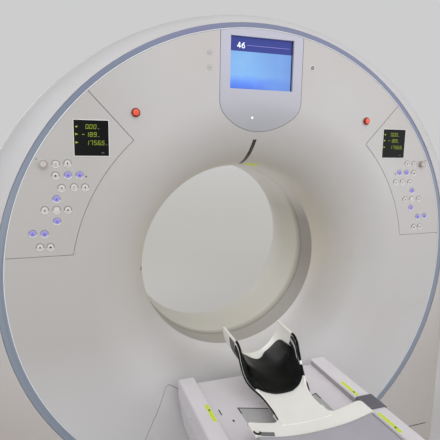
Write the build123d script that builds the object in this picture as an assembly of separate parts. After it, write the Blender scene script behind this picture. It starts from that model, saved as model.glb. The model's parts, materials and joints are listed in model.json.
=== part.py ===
"""Computed-tomography scanner: a ring-shaped gantry and a lifting, sliding patient couch.

Frame: millimetres, +X to the right as seen from the front, +Y into the gantry, +Z up.
The origin is on the floor, straight below the point where the bore axis meets the scan plane.
Outlines seen from the front are drawn about the bore axis: x to the right and z upward from it.
Depths are counted from the flat front face of the gantry, positive towards its back.
"""

import os
from math import asin, atan2, cos, degrees, radians, sin, sqrt

from build123d import *

# Gantry, overall
FLOOR_GAP = 51.0  # lowest point of the coloured ring above the floor
FACE_TO_SCAN = 310.0  # front face to scan plane
GANTRY_DEPTH = 880.0
SHELL_MARGIN = 89.0  # housing's half width beyond the coloured ring
SHELL_RISE = 39.0  # top of the housing above the coloured ring
SHELL_SIDE_R = 900.0  # arcs at the housing's shoulders
SHELL_EDGE_R = 84.0  # rounding between the housing's faces and its sides
PLINTH_TOP = 140.0  # seam above the floor
LIP_ROOT = 20.0  # plinth's lip below the seam
LIP_REACH = 12.0  # and above it

# Covers
SKIN = 5.0  # moulded wall
LEDGE = 3.0  # wall of the ledges behind the loose covers
LEDGE_OVERLAP = 9.0  # how far a ledge reaches past its opening's edge, each way
SEAM = 2.0  # visible gap round a loose cover
FIT = 0.3  # gap between pieces that lie against each other
DISC_R = 867.0  # rim of the white front disc
LAYOUT_R = 867.0  # disc rim that the places on the face below are given for
RIM_DEPTH = 30.0
BAND_WIDTH = 22.0  # coloured ring round the disc
BAND_RECESS = 3.0
BLEND_R = 640.0  # where the flat face begins to curve into the bore
BORE_R = 390.0
THROAT_DEPTH = 259.0  # where the front funnel ends
WINDOW_LENGTH = 101.0  # scan window along the bore
WINDOW_WALL = 2.0
WINDOW_STEP = 1.0  # window's bore outside the funnel's
REAR_TUBE_LENGTH = 190.0  # straight bore behind the scan window
REAR_BLEND_R = 600.0

# Lower front cover
LOWER_ARC_R = 525.0
LOWER_ARC_HALF = 40.0  # degrees each side of straight down
LOWER_SIDE_LEAN = 24.0  # degrees between its side seams and the vertical
LOWER_CORNER_R = 18.0

# Control panels
PANEL_R = 660.0
PANEL_TOP_ANGLE = 47.1
PANEL_FLOOR = 112.0  # bottom seam above the bore axis
PANEL_CORNER_R = 5.0
READOUT_SIZE = (106.0, 111.0)
READOUT_AT = (584.0, 488.0)
READOUT_PROUD = 1.0
READOUT_WALL = 9.0
KEY_R = 10.0
KEY_GAP = 0.4
KEY_PROUD = 2.5
KEY_FLANGE_R = 12.0
KEY_FLANGE_WALL = 2.0
KEY_TRAVEL = 1.5
KNOB_AT = (730.0, 407.0)
KNOB_R = 12.0
KNOB_LENGTH = 14.0
KNOB_CROWN = 1.5
POINTER_HALF = 0.8
POINTER_PROUD = 0.7
KNOB_SPINDLE_R = 4.0
SPINDLE_REACH = 12.0  # behind the panel
KNOB_FLAT_COUNT = 12
PAD_KEYS = {"up": (696.0, 297.0), "down": (697.0, 226.0), "outer": (732.0, 263.0), "inner": (663.0, 262.0)}
PLAIN_KEYS = [
    (694.0, 407.0), (659.0, 409.0),
    (696.0, 371.0), (659.0, 372.0), (624.0, 372.0),
    (679.0, 332.0), (642.0, 334.0), (608.0, 333.0),
    (697.0, 263.0),
    (771.0, 189.0), (736.0, 187.0),
    (751.0, 145.0), (720.0, 144.0),
]

# Emergency stops
STOP_AT = (444.0, 572.0)
STOP_COLLAR_R = 16.0
STOP_COLLAR_PROUD = 4.0
STOP_BARREL_R = 13.0
STOP_BARREL_DEPTH = 26.0
STOP_BORE_R = 11.4
STOP_FLOOR = 3.0
STOP_BUTTON_R = 11.0
STOP_BUTTON_PROUD = 12.0
STOP_TRAVEL = 4.0

# Display
BEZEL_HALF = 158.0
BEZEL_BOTTOM = 521.0  # above the bore axis
BEZEL_ARC_R = 200.0
BEZEL_CORNER_R = 75.0
SCREEN_HALF = 120.0
SCREEN_LOW = 666.0
SCREEN_HEIGHT = 174.0
SCREEN_RECESS = 10.0
SCREEN_WALL = 12.0
BEZEL_FRAME_WALL = 6.0

# Positioning lasers
SLIT_HALF = 7.0
SLIT_SPAN = (399.0, 494.0)
SIDE_LASER_HALF = 6.0
SIDE_LASER_SPAN = (397.0, 407.0)

# Gantry frame and bearing
BASE_HALF = 760.0
BASE_SPAN = (90.0, 800.0)  # depths of the floor plate's edges
BASE_WALL = 28.0
BASE_BORDER = 130.0  # floor plate's rails round its two windows
BASE_WINDOW_X = (150.0, 520.0)
TIE_HALF = 150.0  # half width of the thin plate that ties the frame to the housing
ANCHOR_SPACING = (1360.0, 560.0)
ANCHOR_R = 9.0
STATOR_R = (700.0, 800.0)
STATOR_SPAN = (460.0, 545.0)
STATOR_WALL = 14.0
STATOR_POCKET = 30.0
UPRIGHT_SPAN_X = (520.0, 800.0)
UPRIGHT_TOP = -260.0  # above the bore axis
UPRIGHT_FLARE = 60.0  # how much wider the feet are on the inner side
RIB_AT = 90.0  # stiffening rib inside the upright's outer edge
RIB_WALL = 30.0
RIB_DROP = 160.0
RIB_REACH = 120.0  # ahead of and behind the upright
DRUM_SWEEP = 20.0  # clearance round the turning drum
RACE_WIDTH = 60.0
RACE_DEPTH = 472.0  # depth of the bearing's front face
RACE_WALL = 22.0
BALL_R = 12.0
BALL_COUNT = 40
CAGE_WALL = 6.0
CAGE_WIDTH = 12.0
HUB_R = (600.0, 630.0)
DRUM_BORE_R = 430.0
DRUM_CLEARANCE = 78.0  # from the housing's top to the drum's edge
DRUM_SPAN = (425.0, 447.0)
DRUM_LIP = (12.0, 40.0)  # wall and length of the lip at the drum's edge
DRUM_HOLE_COUNT = 8
DRUM_HOLE_R = 38.0
HUB_END = 600.0
PULLEY_R = 640.0
PULLEY_SPAN = (564.0, 600.0)
BELT_WALL = 6.0
BELT_INSET = 3.0
MOTOR_PULLEY_R = 64.0
MOTOR_DISTANCE = 760.0
MOTOR_ANGLE = -125.0
MOTOR_R = 92.0
MOTOR_LENGTH = 190.0
MOTOR_SHAFT_R = 14.0
SHAFT_CLEARANCE = 0.05
SHAFT_LENGTH = 60.0  # behind the pulley
MOTOR_GAP = 12.0  # pulley to motor
PEDESTAL_HALF = 95.0
PEDESTAL_RISE = 60.0
SLIP_R = (470.0, 622.0)
SLIP_LENGTH = 40.0
BRUSH_ANGLE = 60.0

# X-ray chain, seen from the front, heights above the bore axis
FOCUS_TO_AXIS = 600.0
FOCUS_TO_DETECTOR = 1072.0
DETECTOR_HALF_ANGLE = 26.0
DETECTOR_WALL = 85.0
DETECTOR_FRONT = 215.0
TUBE_R = 100.0
TUBE_AT = 690.0
TUBE_FRONT = 150.0
TUBE_CAP = 22.0
COLLIMATOR_HALF = 125.0
COLLIMATOR_SPAN = (476.0, 589.0)
COLLIMATOR_FRONT = 215.0
GENERATOR_IN_R = 570.0
GENERATOR_INSET = 30.0  # from the drum's edge
GENERATOR_ANGLES = (152.0, 208.0)
GENERATOR_FRONT = 160.0
LID_INSET = 20.0
LID_WALL = 8.0
BALANCE_IN_R = 600.0
BALANCE_INSET = 10.0  # from the drum's edge
BALANCE_ANGLES = (-26.0, 26.0)
BALANCE_FRONT = 250.0

# Couch, heights against the bore axis unless named otherwise
COUCH_GAP = 20.0  # couch top to the gantry's face
COUCH_TAIL = 40.0  # couch body behind the sliding top
RAIL_OUT = 305.0
RAIL_IN = 245.0
RAIL_TOP = -372.0
BED_TOP = -397.0
COUCH_SHOULDER = -440.0  # where the side begins to lean in
COUCH_KNEE = -565.0
COUCH_LEAN = 22.0
COUCH_TUCK = 62.0
COUCH_CORNER_R = 24.0
COUCH_BELLY = -600.0
COUCH_WALL = 4.0
RAIL_EDGE_R = 7.0
WELL_HALF = 152.0  # long opening in the bed for the carriage
WELL_START = 213.0  # ahead of the gantry's face
WELL_SEAT = 1.5  # recess in the bed ahead of the well
WELL_END_MARGIN = 90.0
GRIP_START = 170.0
GRIP_LENGTH = 520.0
GRIP_HEIGHT = 70.0
GRIP_MIDDLE = -452.0
GRIP_DEPTH = 2.0
CLAMP_SPAN = (320.0, 397.0)
CLAMP_WALL = 4.0
FRAME_HALF = 200.0
DECK_TOP = -425.0
FRAME_BOTTOM = -560.0
FRAME_WALL = 5.0
SLIDE_RAIL_X = 100.0
SLIDE_RAIL_WIDTH = 20.0
SLIDE_RAIL_HEIGHT = 18.0
DRIVE_HALF = 32.0
DRIVE_HEIGHT = 14.0

# Couch lift: three nested stages, heights above the floor
LIFT_DOWN = 120.0  # travel below the modelled height
LIFT_UP = 220.0  # travel above it
COUCH_BASE_WALL = 12.0
NEST_GAP = 2.0
BRIDGE_WALL = 5.0
LIFT_MIDDLE = 1250.0  # lift axis ahead of the gantry's face
COVER_HALF = (230.0, 556.0)
COVER_STEP = 14.0  # each stage of the covers is this much smaller each way
COVER_WALL = 4.0
COVER_CORNER_R = 60.0
COLUMN_Y = 330.0
COLUMN_HALF = 44.0
COLUMN_WALL = 8.0
COLUMN_GAP = 0.5
COUCH_ANCHOR_SPACING = (380.0, 1010.0)
COUCH_ANCHOR_R = 7.0

# Sliding top
TOP_START = 400.0  # front end ahead of the gantry's face
TOP_LENGTH = 2000.0
TOP_HALF = 197.0
TOP_UNDER_R = 385.5  # underside follows a circle about the bore axis
TOP_EDGE = -331.0
TOP_MIDDLE = -362.0
CARRIAGE_HALF = 140.0
CARRIAGE_LENGTH = 210.0
CARRIAGE_BACK_MARGIN = 150.0
RUNNER_WIDTH = 46.0
ROLLER_R = 16.0
ROLLER_HALF = 55.0
ROLLER_AXLE_R = 5.0
ROLLER_CLEARANCE = 6.0
ROLLER_BEHIND_END = 40.0
SLIDE_TRAVEL = 1500.0

# Mattress and head holder
PLATE_LENGTH = 66.0  # shell plate in front of the mattress
MAT_WALL = 16.0
MAT_INSET = 5.0
HOLDER_WALL = 8.0
HOLDER_STEP = 13.0  # between modelled sections
PLATE_WALL = 7.0
PLATE_LIP = 2.0
PLATE_CORNER_R = 16.0
NECK_CORNER_R = 22.0
CUSHION_GAP = 0.8
CUSHION_WALL = 9.0
CUSHION_SPAN = (-258.0, -4.0)
STRAP_WALL = 4.0
STRAP_BOX = (-165.0, -50.0, -315.0, -228.0)  # depths and heights of the pads outside the trough
# (depth, half width, height of the edge, height of the bottom) of the holder along the bore axis
HOLDER_SECTIONS = [
    (-412.0, 88.0, -347.5, -361.5),
    (-370.0, 83.0, -347.0, -361.0),
    (-330.0, 80.0, -346.0, -360.0),
    (-292.0, 81.0, -343.0, -358.5),
    (-262.0, 86.0, -338.0, -357.0),
    (-235.0, 96.0, -331.0, -355.5),
    (-205.0, 107.0, -321.0, -353.0),
    (-178.0, 113.0, -303.0, -350.0),
    (-152.0, 116.5, -268.0, -347.0),
    (-130.0, 117.5, -233.0, -345.5),
    (-102.0, 118.0, -219.0, -344.0),
    (-45.0, 118.0, -216.0, -342.5),
    (30.0, 118.0, -213.0, -342.0),
]

BAND_R = DISC_R + BAND_WIDTH
ISO_HEIGHT = BAND_R + FLOOR_GAP  # bore axis above the floor
SHELL_HALF = BAND_R + SHELL_MARGIN
SHELL_TOP = BAND_R + SHELL_RISE  # above the bore axis
DRUM_OUTER_R = SHELL_TOP - DRUM_CLEARANCE
DISC_SCALE = DISC_R / LAYOUT_R
FRONT = -FACE_TO_SCAN
REAR = FRONT + GANTRY_DEPTH
THROAT_Y = FRONT + THROAT_DEPTH
TUBE_Y = THROAT_Y + WINDOW_LENGTH
REAR_FLARE_Y = TUBE_Y + REAR_TUBE_LENGTH
COUCH_LENGTH = TOP_START + TOP_LENGTH + COUCH_TAIL - COUCH_GAP
COUCH_FRONT = FRONT - COUCH_GAP
COUCH_BACK = COUCH_FRONT - COUCH_LENGTH
LIFT_Y = FRONT - LIFT_MIDDLE
PARTS = "parts"


def polar(radius, angle):
    """Point at a radius and an angle in degrees, counted from the right."""
    return (radius * cos(radians(angle)), radius * sin(radians(angle)))


def on_disc(*place):
    """Place on the front face, moved as the disc's rim moves from the layout's."""
    return tuple(value * DISC_SCALE for value in place)


def face_plane(depth=0.0):
    """Plane of the front face, or one behind it, with z up and the bore axis at its origin."""
    return Plane(origin=(0, FRONT + depth, ISO_HEIGHT), x_dir=(1, 0, 0), z_dir=(0, -1, 0))


def prism(outline, near, far):
    """Carry a front-view outline from one depth to another."""
    return extrude(face_plane(near) * outline, amount=near - far)


def turned(profile):
    """Turn a profile, drawn as (radius, y), about the bore axis."""
    return revolve(Pos(0, 0, ISO_HEIGHT) * profile, Axis((0, 0, ISO_HEIGHT), (0, 1, 0)))


def tube(r_in, r_out, near, far):
    """Plain ring about the bore axis between two depths."""
    return prism(Circle(r_out) - Circle(r_in), near, far)


def polygon(points):
    return make_face(Polyline(*points, close=True))


def rect_between(x0, z0, x1, z1):
    return Pos((x0 + x1) / 2, (z0 + z1) / 2) * Rectangle(abs(x1 - x0), abs(z1 - z0))


def block(x0, y0, z0, x1, y1, z1):
    """Box between two corners in the part's own frame."""
    size = (abs(x1 - x0), abs(y1 - y0), abs(z1 - z0))
    return Pos((x0 + x1) / 2, (y0 + y1) / 2, (z0 + z1) / 2) * Box(*size)


def mirrored(shape):
    return mirror(shape, about=Plane.YZ)


def both_sides(shape):
    return shape + mirrored(shape)


def ellipse_arc(middle, radius_x, radius_y, start, size=90):
    """Part of an ellipse from a start angle."""
    return EllipticalCenterArc(middle, radius_x, radius_y, start_angle=start, arc_size=size)


def annular_sector(r_in, r_out, angle0, angle1):
    """Part of a ring between two angles."""
    inner = CenterArc((0, 0), r_in, angle0, angle1 - angle0)
    outer = CenterArc((0, 0), r_out, angle0, angle1 - angle0)
    sides = [Line(inner @ 0, outer @ 0), Line(inner @ 1, outer @ 1)]
    return make_face([inner, outer, *sides])


def dish(near, far, rim):
    """Layer of the front skin between two depths below its outer surface.

    The outer surface is flat from the rim to BLEND_R, then a quarter ellipse down to the throat.
    """
    reach_r = BLEND_R - BORE_R
    arcs = [
        ellipse_arc((BLEND_R, THROAT_Y), reach_r - off, THROAT_DEPTH - off, 180)
        for off in (near, far)
    ]
    top, under = arcs
    edge = DISC_R if rim else DISC_R - SKIN - FIT
    corners = [top @ 1, (edge, FRONT + near)]
    if rim:
        corners += [(edge, FRONT + RIM_DEPTH), (edge - SKIN, FRONT + RIM_DEPTH), (edge - SKIN, FRONT + far)]
    else:
        corners += [(edge, FRONT + far)]
    corners.append(under @ 1)
    return turned(make_face([top, under, Polyline(*corners), Line(under @ 0, top @ 0)]))


def panel_outline():
    """Control panel's edge: inner arc, slanted seam above, level seam below, open to the rim."""
    inner_r, floor = on_disc(PANEL_R, PANEL_FLOOR)
    corner_angle = degrees(asin(floor / inner_r))
    arc = CenterArc((0, 0), inner_r, corner_angle, PANEL_TOP_ANGLE - corner_angle)
    far = 1.3 * BAND_R
    top_end = polar(far, PANEL_TOP_ANGLE)
    path = Polyline(arc @ 1, top_end, (far, top_end[1]), (far, floor), arc @ 0)
    face = make_face([arc, path])
    corners = [v for v in face.vertices() if sqrt(v.X**2 + v.Y**2) < inner_r + 1]
    return fillet(corners, PANEL_CORNER_R)


def lower_outline():
    """Lower front cover's edge: an arc below the bore and two leaning side seams."""
    arc = CenterArc((0, 0), LOWER_ARC_R, -90 - LOWER_ARC_HALF, 2 * LOWER_ARC_HALF)
    drop = BAND_R
    run = drop * sin(radians(LOWER_SIDE_LEAN)) / cos(radians(LOWER_SIDE_LEAN))
    left, right = arc @ 0, arc @ 1
    path = Polyline(left, (left.X - run, left.Y - drop), (right.X + run, right.Y - drop), right)
    face = make_face([arc, path])
    corners = [v for v in face.vertices() if sqrt(v.X**2 + v.Y**2) < LOWER_ARC_R + 1]
    return fillet(corners, LOWER_CORNER_R)


def bezel_outline():
    """Display bezel's edge: upright sides from the rim, then corner arcs into a wide bottom arc."""
    low = on_disc(BEZEL_BOTTOM)[0]
    middle = low + BEZEL_ARC_R
    side_end = middle - sqrt(BEZEL_ARC_R**2 - BEZEL_HALF**2)
    bottom = ThreePointArc((-BEZEL_HALF, side_end), (0, low), (BEZEL_HALF, side_end))
    top = BAND_R + 10
    face = make_face([bottom, Polyline(bottom @ 1, (BEZEL_HALF, top), (-BEZEL_HALF, top), bottom @ 0)])
    return fillet([v for v in face.vertices() if v.Y < side_end + 1], BEZEL_CORNER_R)


def screen_outline(margin=0.0):
    low = on_disc(SCREEN_LOW)[0]
    half = SCREEN_HALF + margin
    return rect_between(-half, low - margin, half, low + SCREEN_HEIGHT + margin)


def slit_outline():
    """Front views of the two laser windows: a slit at the top and a short one on the left."""
    top = rect_between(-SLIT_HALF, SLIT_SPAN[0], SLIT_HALF, SLIT_SPAN[1])
    near, far = SIDE_LASER_SPAN
    return top + rect_between(-far, -SIDE_LASER_HALF, -near, SIDE_LASER_HALF)


def shrunk(outline, amount):
    return offset(outline, amount=-amount, kind=Kind.INTERSECTION)


def grown(outline, amount):
    return offset(outline, amount=amount, kind=Kind.INTERSECTION)


def front_cover():
    """Dished disc with its funnel, less its loose covers, on ledges that carry them."""
    skin = dish(0, SKIN, rim=True)
    backing = dish(SKIN, SKIN + LEDGE, rim=False)
    deep = THROAT_DEPTH + SKIN
    openings = [panel_outline(), mirror(panel_outline(), about=Plane.YZ), lower_outline(), bezel_outline()]
    for opening in openings:
        skin -= prism(opening, -1, deep)
    for opening in openings:
        ledge = grown(opening, LEDGE_OVERLAP) - shrunk(opening, LEDGE_OVERLAP + SEAM)
        skin += backing & prism(ledge, -1, deep)
    skin -= prism(grown(slit_outline(), FIT), -1, THROAT_DEPTH - 20)
    for side in (1, -1):
        x, z = on_disc(*STOP_AT)
        skin -= prism(Pos(side * x, z) * Circle(STOP_BARREL_R + FIT), -1, SKIN + 1)
    return skin


def lower_cover():
    """Loose cover under the bore."""
    return dish(0, SKIN - FIT, rim=True) & prism(shrunk(lower_outline(), SEAM), -1, THROAT_DEPTH)


def laser_windows():
    """Dark panes in the funnel, flush with its surface."""
    return dish(0, SKIN - FIT, rim=False) & prism(slit_outline(), 0, THROAT_DEPTH - 20 - FIT)


def accent_ring():
    """Coloured ring round the disc, with an eased front edge."""
    ring = tube(DISC_R + FIT, BAND_R - FIT, BAND_RECESS, RIM_DEPTH)
    front_edges = ring.edges().group_by(Axis.Y)[0]
    return fillet(front_edges, 2.0)


def arch(inset, bottom):
    """Housing's outline: two shoulder arcs and a flatter top arc that they run into, on straight sides.

    The top arc's middle lies as far below the bore axis as makes it touch both shoulder arcs.
    """
    side_x = SHELL_HALF - SHELL_SIDE_R
    spare = SHELL_TOP - SHELL_SIDE_R
    drop = (side_x**2 - spare**2) / (2 * spare)
    turn = degrees(atan2(drop, side_x))
    side_r = SHELL_SIDE_R - inset
    right = CenterArc((side_x, 0), side_r, 0, turn)
    top = CenterArc((0, -drop), SHELL_TOP + drop - inset, turn, 180 - 2 * turn)
    left = CenterArc((-side_x, 0), side_r, 180 - turn, turn)
    half = SHELL_HALF - inset
    legs = Polyline((-half, 0), (-half, bottom), (half, bottom), (half, 0))
    return make_face([right, top, left, legs])


def arch_block(inset, low):
    """Solid arch of the housing with rounded front and rear edges, less an inset all round."""
    solid = prism(arch(inset, low), inset, GANTRY_DEPTH - inset)
    ends = [e for e in solid.edges() if abs(e.center().Z - (ISO_HEIGHT + low)) > 1]
    near, far = FRONT + inset, REAR - inset
    rims = [e for e in ends if min(abs(e.center().Y - near), abs(e.center().Y - far)) < 0.01]
    return fillet(rims, SHELL_EDGE_R - inset)


def housing():
    """Outer skin of the gantry down to the floor, open below and at both discs."""
    whole = arch_block(0, -ISO_HEIGHT)
    hollow = arch_block(SKIN, -ISO_HEIGHT - SKIN)
    skin = whole - hollow
    skin -= prism(Circle(BAND_R), -1, SHELL_EDGE_R)
    skin -= prism(Circle(DISC_R + FIT), GANTRY_DEPTH - SHELL_EDGE_R, GANTRY_DEPTH + 1)
    return skin


def outer_shell(skin):
    """Housing above the plinth seam."""
    keep = block(-SHELL_HALF, FRONT, PLINTH_TOP + SEAM, SHELL_HALF, REAR, ISO_HEIGHT + SHELL_TOP)
    return skin & keep


def plinth(skin):
    """Housing below the seam, with a lip that stands inside the shell above it."""
    keep = block(-SHELL_HALF, FRONT, 0, SHELL_HALF, REAR, PLINTH_TOP)
    lip_in = SKIN + FIT
    lip = arch_block(lip_in, -ISO_HEIGHT) - arch_block(lip_in + LEDGE, -ISO_HEIGHT - SKIN)
    lip -= prism(Circle(BAND_R + SKIN), -1, SHELL_EDGE_R)
    lip -= prism(Circle(DISC_R + FIT + SKIN), GANTRY_DEPTH - SHELL_EDGE_R, GANTRY_DEPTH + 1)
    low = PLINTH_TOP - LIP_ROOT
    lip &= block(-SHELL_HALF, FRONT, low, SHELL_HALF, REAR, PLINTH_TOP + LIP_REACH)
    web = arch_block(SKIN, -ISO_HEIGHT) - arch_block(lip_in + LEDGE, -ISO_HEIGHT - SKIN)
    web -= prism(Circle(BAND_R + SKIN), -1, SHELL_EDGE_R)
    web -= prism(Circle(DISC_R + FIT + SKIN), GANTRY_DEPTH - SHELL_EDGE_R, GANTRY_DEPTH + 1)
    web &= block(-SHELL_HALF, FRONT, low, SHELL_HALF, REAR, PLINTH_TOP - LIP_ROOT / 2)
    return (skin & keep) + web + lip


def rear_cover():
    """Rear bore tube that flares to a flat rear disc."""
    radial = REAR_BLEND_R - BORE_R
    length = REAR - REAR_FLARE_Y
    face_in = ellipse_arc((REAR_BLEND_R, REAR_FLARE_Y), radial, length, 90)
    face_out = ellipse_arc((REAR_BLEND_R, REAR_FLARE_Y), radial - SKIN, length - SKIN, 90)
    start = TUBE_Y + FIT
    inner = Polyline(face_in @ 1, (BORE_R, start), (BORE_R + SKIN, start), face_out @ 1)
    rim = Polyline(
        face_in @ 0,
        (DISC_R, REAR),
        (DISC_R, REAR - RIM_DEPTH),
        (DISC_R - SKIN, REAR - RIM_DEPTH),
        (DISC_R - SKIN, REAR - SKIN),
        face_out @ 0,
    )
    return turned(make_face([face_in, face_out, inner, rim]))


def scan_window():
    """Thin ring that the beam passes, between the funnel and the rear tube."""
    inner_r = BORE_R + WINDOW_STEP
    return tube(inner_r, inner_r + WINDOW_WALL, THROAT_DEPTH + FIT, THROAT_DEPTH + WINDOW_LENGTH - FIT)


def display_bezel():
    """Shield-shaped cover with a deep opening for the screen."""
    cover = dish(0, SKIN - FIT, rim=True) & prism(shrunk(bezel_outline(), SEAM), -1, THROAT_DEPTH)
    frame_end = SCREEN_RECESS + SCREEN_WALL
    frame = prism(screen_outline(BEZEL_FRAME_WALL), SKIN - FIT, frame_end)
    return cover + frame - prism(screen_outline(), -1, frame_end + 1)


def display_screen():
    return prism(screen_outline(-FIT), SCREEN_RECESS, SCREEN_RECESS + SCREEN_WALL)


def control_panel():
    """Right-hand panel: readout opening, knob and key holes, and keys moulded to it."""
    panel = dish(0, SKIN - FIT, rim=True) & prism(shrunk(panel_outline(), SEAM), -1, THROAT_DEPTH)
    through = SKIN + 1
    width, height = READOUT_SIZE
    panel -= prism(Pos(*on_disc(*READOUT_AT)) * Rectangle(width + 2 * FIT, height + 2 * FIT), -1, through)
    panel -= prism(Pos(*on_disc(*KNOB_AT)) * Circle(KNOB_SPINDLE_R + FIT), -1, through)
    for place in PAD_KEYS.values():
        panel -= prism(Pos(*on_disc(*place)) * Circle(KEY_R + KEY_GAP), -1, through)
    for place in PLAIN_KEYS:
        panel += prism(Pos(*on_disc(*place)) * Circle(KEY_R), -KEY_PROUD, 0)
    return panel


def readouts():
    """Dark glass number windows, one in each panel."""
    pane = prism(Pos(*on_disc(*READOUT_AT)) * Rectangle(*READOUT_SIZE), -READOUT_PROUD, READOUT_WALL)
    return both_sides(pane)


def key(place):
    """Round key with a flange that keeps it behind the panel."""
    x, z = on_disc(*place)
    cap = prism(Pos(x, z) * Circle(KEY_R), -KEY_PROUD, SKIN + FIT)
    flange = prism(Pos(x, z) * Circle(KEY_FLANGE_R), SKIN + FIT, SKIN + FIT + KEY_FLANGE_WALL)
    front = cap.edges().group_by(Axis.Y)[0]
    return fillet(front, KEY_PROUD / 4) + flange


def knob():
    """Turning knob with grip flats and a spindle through the panel."""
    x, z = on_disc(*KNOB_AT)
    crown_near = -KNOB_LENGTH - KNOB_CROWN
    grip = prism(Pos(x, z) * RegularPolygon(KNOB_R, KNOB_FLAT_COUNT), -KNOB_LENGTH, -FIT)
    crown = prism(Pos(x, z) * Circle(KNOB_R - 2), crown_near, -KNOB_LENGTH)
    line = rect_between(x - POINTER_HALF, z, x + POINTER_HALF, z + KNOB_R - 3)
    pointer = prism(line, crown_near - POINTER_PROUD, crown_near)
    spindle = prism(Pos(x, z) * Circle(KNOB_SPINDLE_R), -FIT, SKIN + SPINDLE_REACH)
    return grip + crown + pointer + spindle


def stop_collars():
    """Collars of the emergency stops, closed behind so the buttons have a seat."""
    middle = Pos(*on_disc(*STOP_AT))
    ring = prism(middle * Circle(STOP_COLLAR_R), -STOP_COLLAR_PROUD, -FIT)
    barrel = prism(middle * Circle(STOP_BARREL_R), -FIT, STOP_BARREL_DEPTH)
    bore = prism(middle * Circle(STOP_BORE_R), -STOP_COLLAR_PROUD - 1, STOP_BARREL_DEPTH - STOP_FLOOR)
    return both_sides(ring + barrel - bore)


def stop_button():
    """Domed emergency-stop button, on the right-hand side."""
    seat = STOP_BARREL_DEPTH - STOP_FLOOR - STOP_TRAVEL - FIT
    body = prism(Pos(*on_disc(*STOP_AT)) * Circle(STOP_BUTTON_R), -STOP_BUTTON_PROUD, seat)
    front = body.edges().group_by(Axis.Y)[0]
    return fillet(front, STOP_BUTTON_R * 0.55)


def stator_ring():
    """Fixed ring that holds the main bearing, with a rib round its middle."""
    ring = tube(*STATOR_R, *STATOR_SPAN)
    pocket_in, pocket_out = STATOR_R[0] + 2 * RACE_WALL, STATOR_R[1] - STATOR_WALL
    pocket = tube(pocket_in, pocket_out, STATOR_SPAN[0] - 1, STATOR_SPAN[0] + STATOR_POCKET)
    return ring - pocket


def race_radii():
    """Radii of the bearing: inner race's bore, its outside, the outer race's bore and outside."""
    inner_bore = HUB_R[1] + FIT
    outer_side = STATOR_R[0] - FIT
    return inner_bore, inner_bore + RACE_WALL, outer_side - RACE_WALL, outer_side


def race(r_in, r_out):
    """Bearing race with a groove that the balls run in."""
    radii = race_radii()
    pitch = (radii[1] + radii[2]) / 2
    middle = FRONT + RACE_DEPTH + RACE_WIDTH / 2
    groove = turned(Pos(pitch, middle) * Circle(BALL_R + FIT))
    return tube(r_in, r_out, RACE_DEPTH, RACE_DEPTH + RACE_WIDTH) - groove


def bearing_balls():
    """Balls of the main bearing, evenly spaced, in a thin cage ring that joins them."""
    radii = race_radii()
    pitch = (radii[1] + radii[2]) / 2
    middle = RACE_DEPTH + RACE_WIDTH / 2
    wall, width = CAGE_WALL / 2, CAGE_WIDTH / 2
    cage = tube(pitch - wall, pitch + wall, middle - width, middle + width)
    balls = []
    for index in range(BALL_COUNT):
        angle = (index + 0.5) * 360 / BALL_COUNT
        x, z = polar(pitch, angle)
        balls.append(Pos(x, FRONT + middle, ISO_HEIGHT + z) * Rot(0, -angle, 0) * Sphere(BALL_R))
    return cage + balls


def rotor_drum():
    """Turning plate with its hub and the belt rim behind it."""
    plate = tube(DRUM_BORE_R, DRUM_OUTER_R, *DRUM_SPAN)
    hub = tube(*HUB_R, DRUM_SPAN[1], HUB_END)
    rim = tube(HUB_R[0], PULLEY_R, *PULLEY_SPAN)
    outer_lip = tube(DRUM_OUTER_R - DRUM_LIP[0], DRUM_OUTER_R, DRUM_SPAN[0] - DRUM_LIP[1], DRUM_SPAN[0])
    weight = annular_sector(BALANCE_IN_R, DRUM_OUTER_R - BALANCE_INSET, *BALANCE_ANGLES)
    balance = prism(weight, BALANCE_FRONT, DRUM_SPAN[0])
    drum = plate + hub + rim + outer_lip + balance
    for index in range(DRUM_HOLE_COUNT):
        x, z = polar((HUB_R[0] + DRUM_BORE_R) / 2, (index + 0.5) * 360 / DRUM_HOLE_COUNT)
        drum -= prism(Pos(x, z) * Circle(DRUM_HOLE_R), DRUM_SPAN[0] - 1, DRUM_SPAN[1] + 1)
    return drum


def xray_tube():
    """Tube housing: a cylinder along the bore axis with ribbed ends."""
    middle = Pos(0, TUBE_AT)
    body = prism(middle * Circle(TUBE_R - 8), TUBE_FRONT + TUBE_CAP, DRUM_SPAN[0])
    front_cap = prism(middle * Circle(TUBE_R), TUBE_FRONT, TUBE_FRONT + TUBE_CAP)
    rear_cap = prism(middle * Circle(TUBE_R), DRUM_SPAN[0] - TUBE_CAP, DRUM_SPAN[0])
    waist = prism(middle * Circle(TUBE_R), FACE_TO_SCAN - 35, FACE_TO_SCAN + 35)
    socket = prism(Pos(55, TUBE_AT + 30) * Circle(20), TUBE_FRONT - 30, TUBE_FRONT)
    return body + front_cap + rear_cap + waist + socket + mirrored(socket)


def collimator():
    """Beam-shaping box below the tube with its slot."""
    low, high = COLLIMATOR_SPAN
    half, top_half = COLLIMATOR_HALF, 0.7 * COLLIMATOR_HALF
    outline = polygon([(-half, low), (half, low), (top_half, high), (-top_half, high)])
    body = prism(outline, COLLIMATOR_FRONT, DRUM_SPAN[0])
    opening = rect_between(-half + 20, low - 1, half - 20, low + 30)
    slot = prism(opening, FACE_TO_SCAN - 20, FACE_TO_SCAN + 20)
    return body - slot


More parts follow.
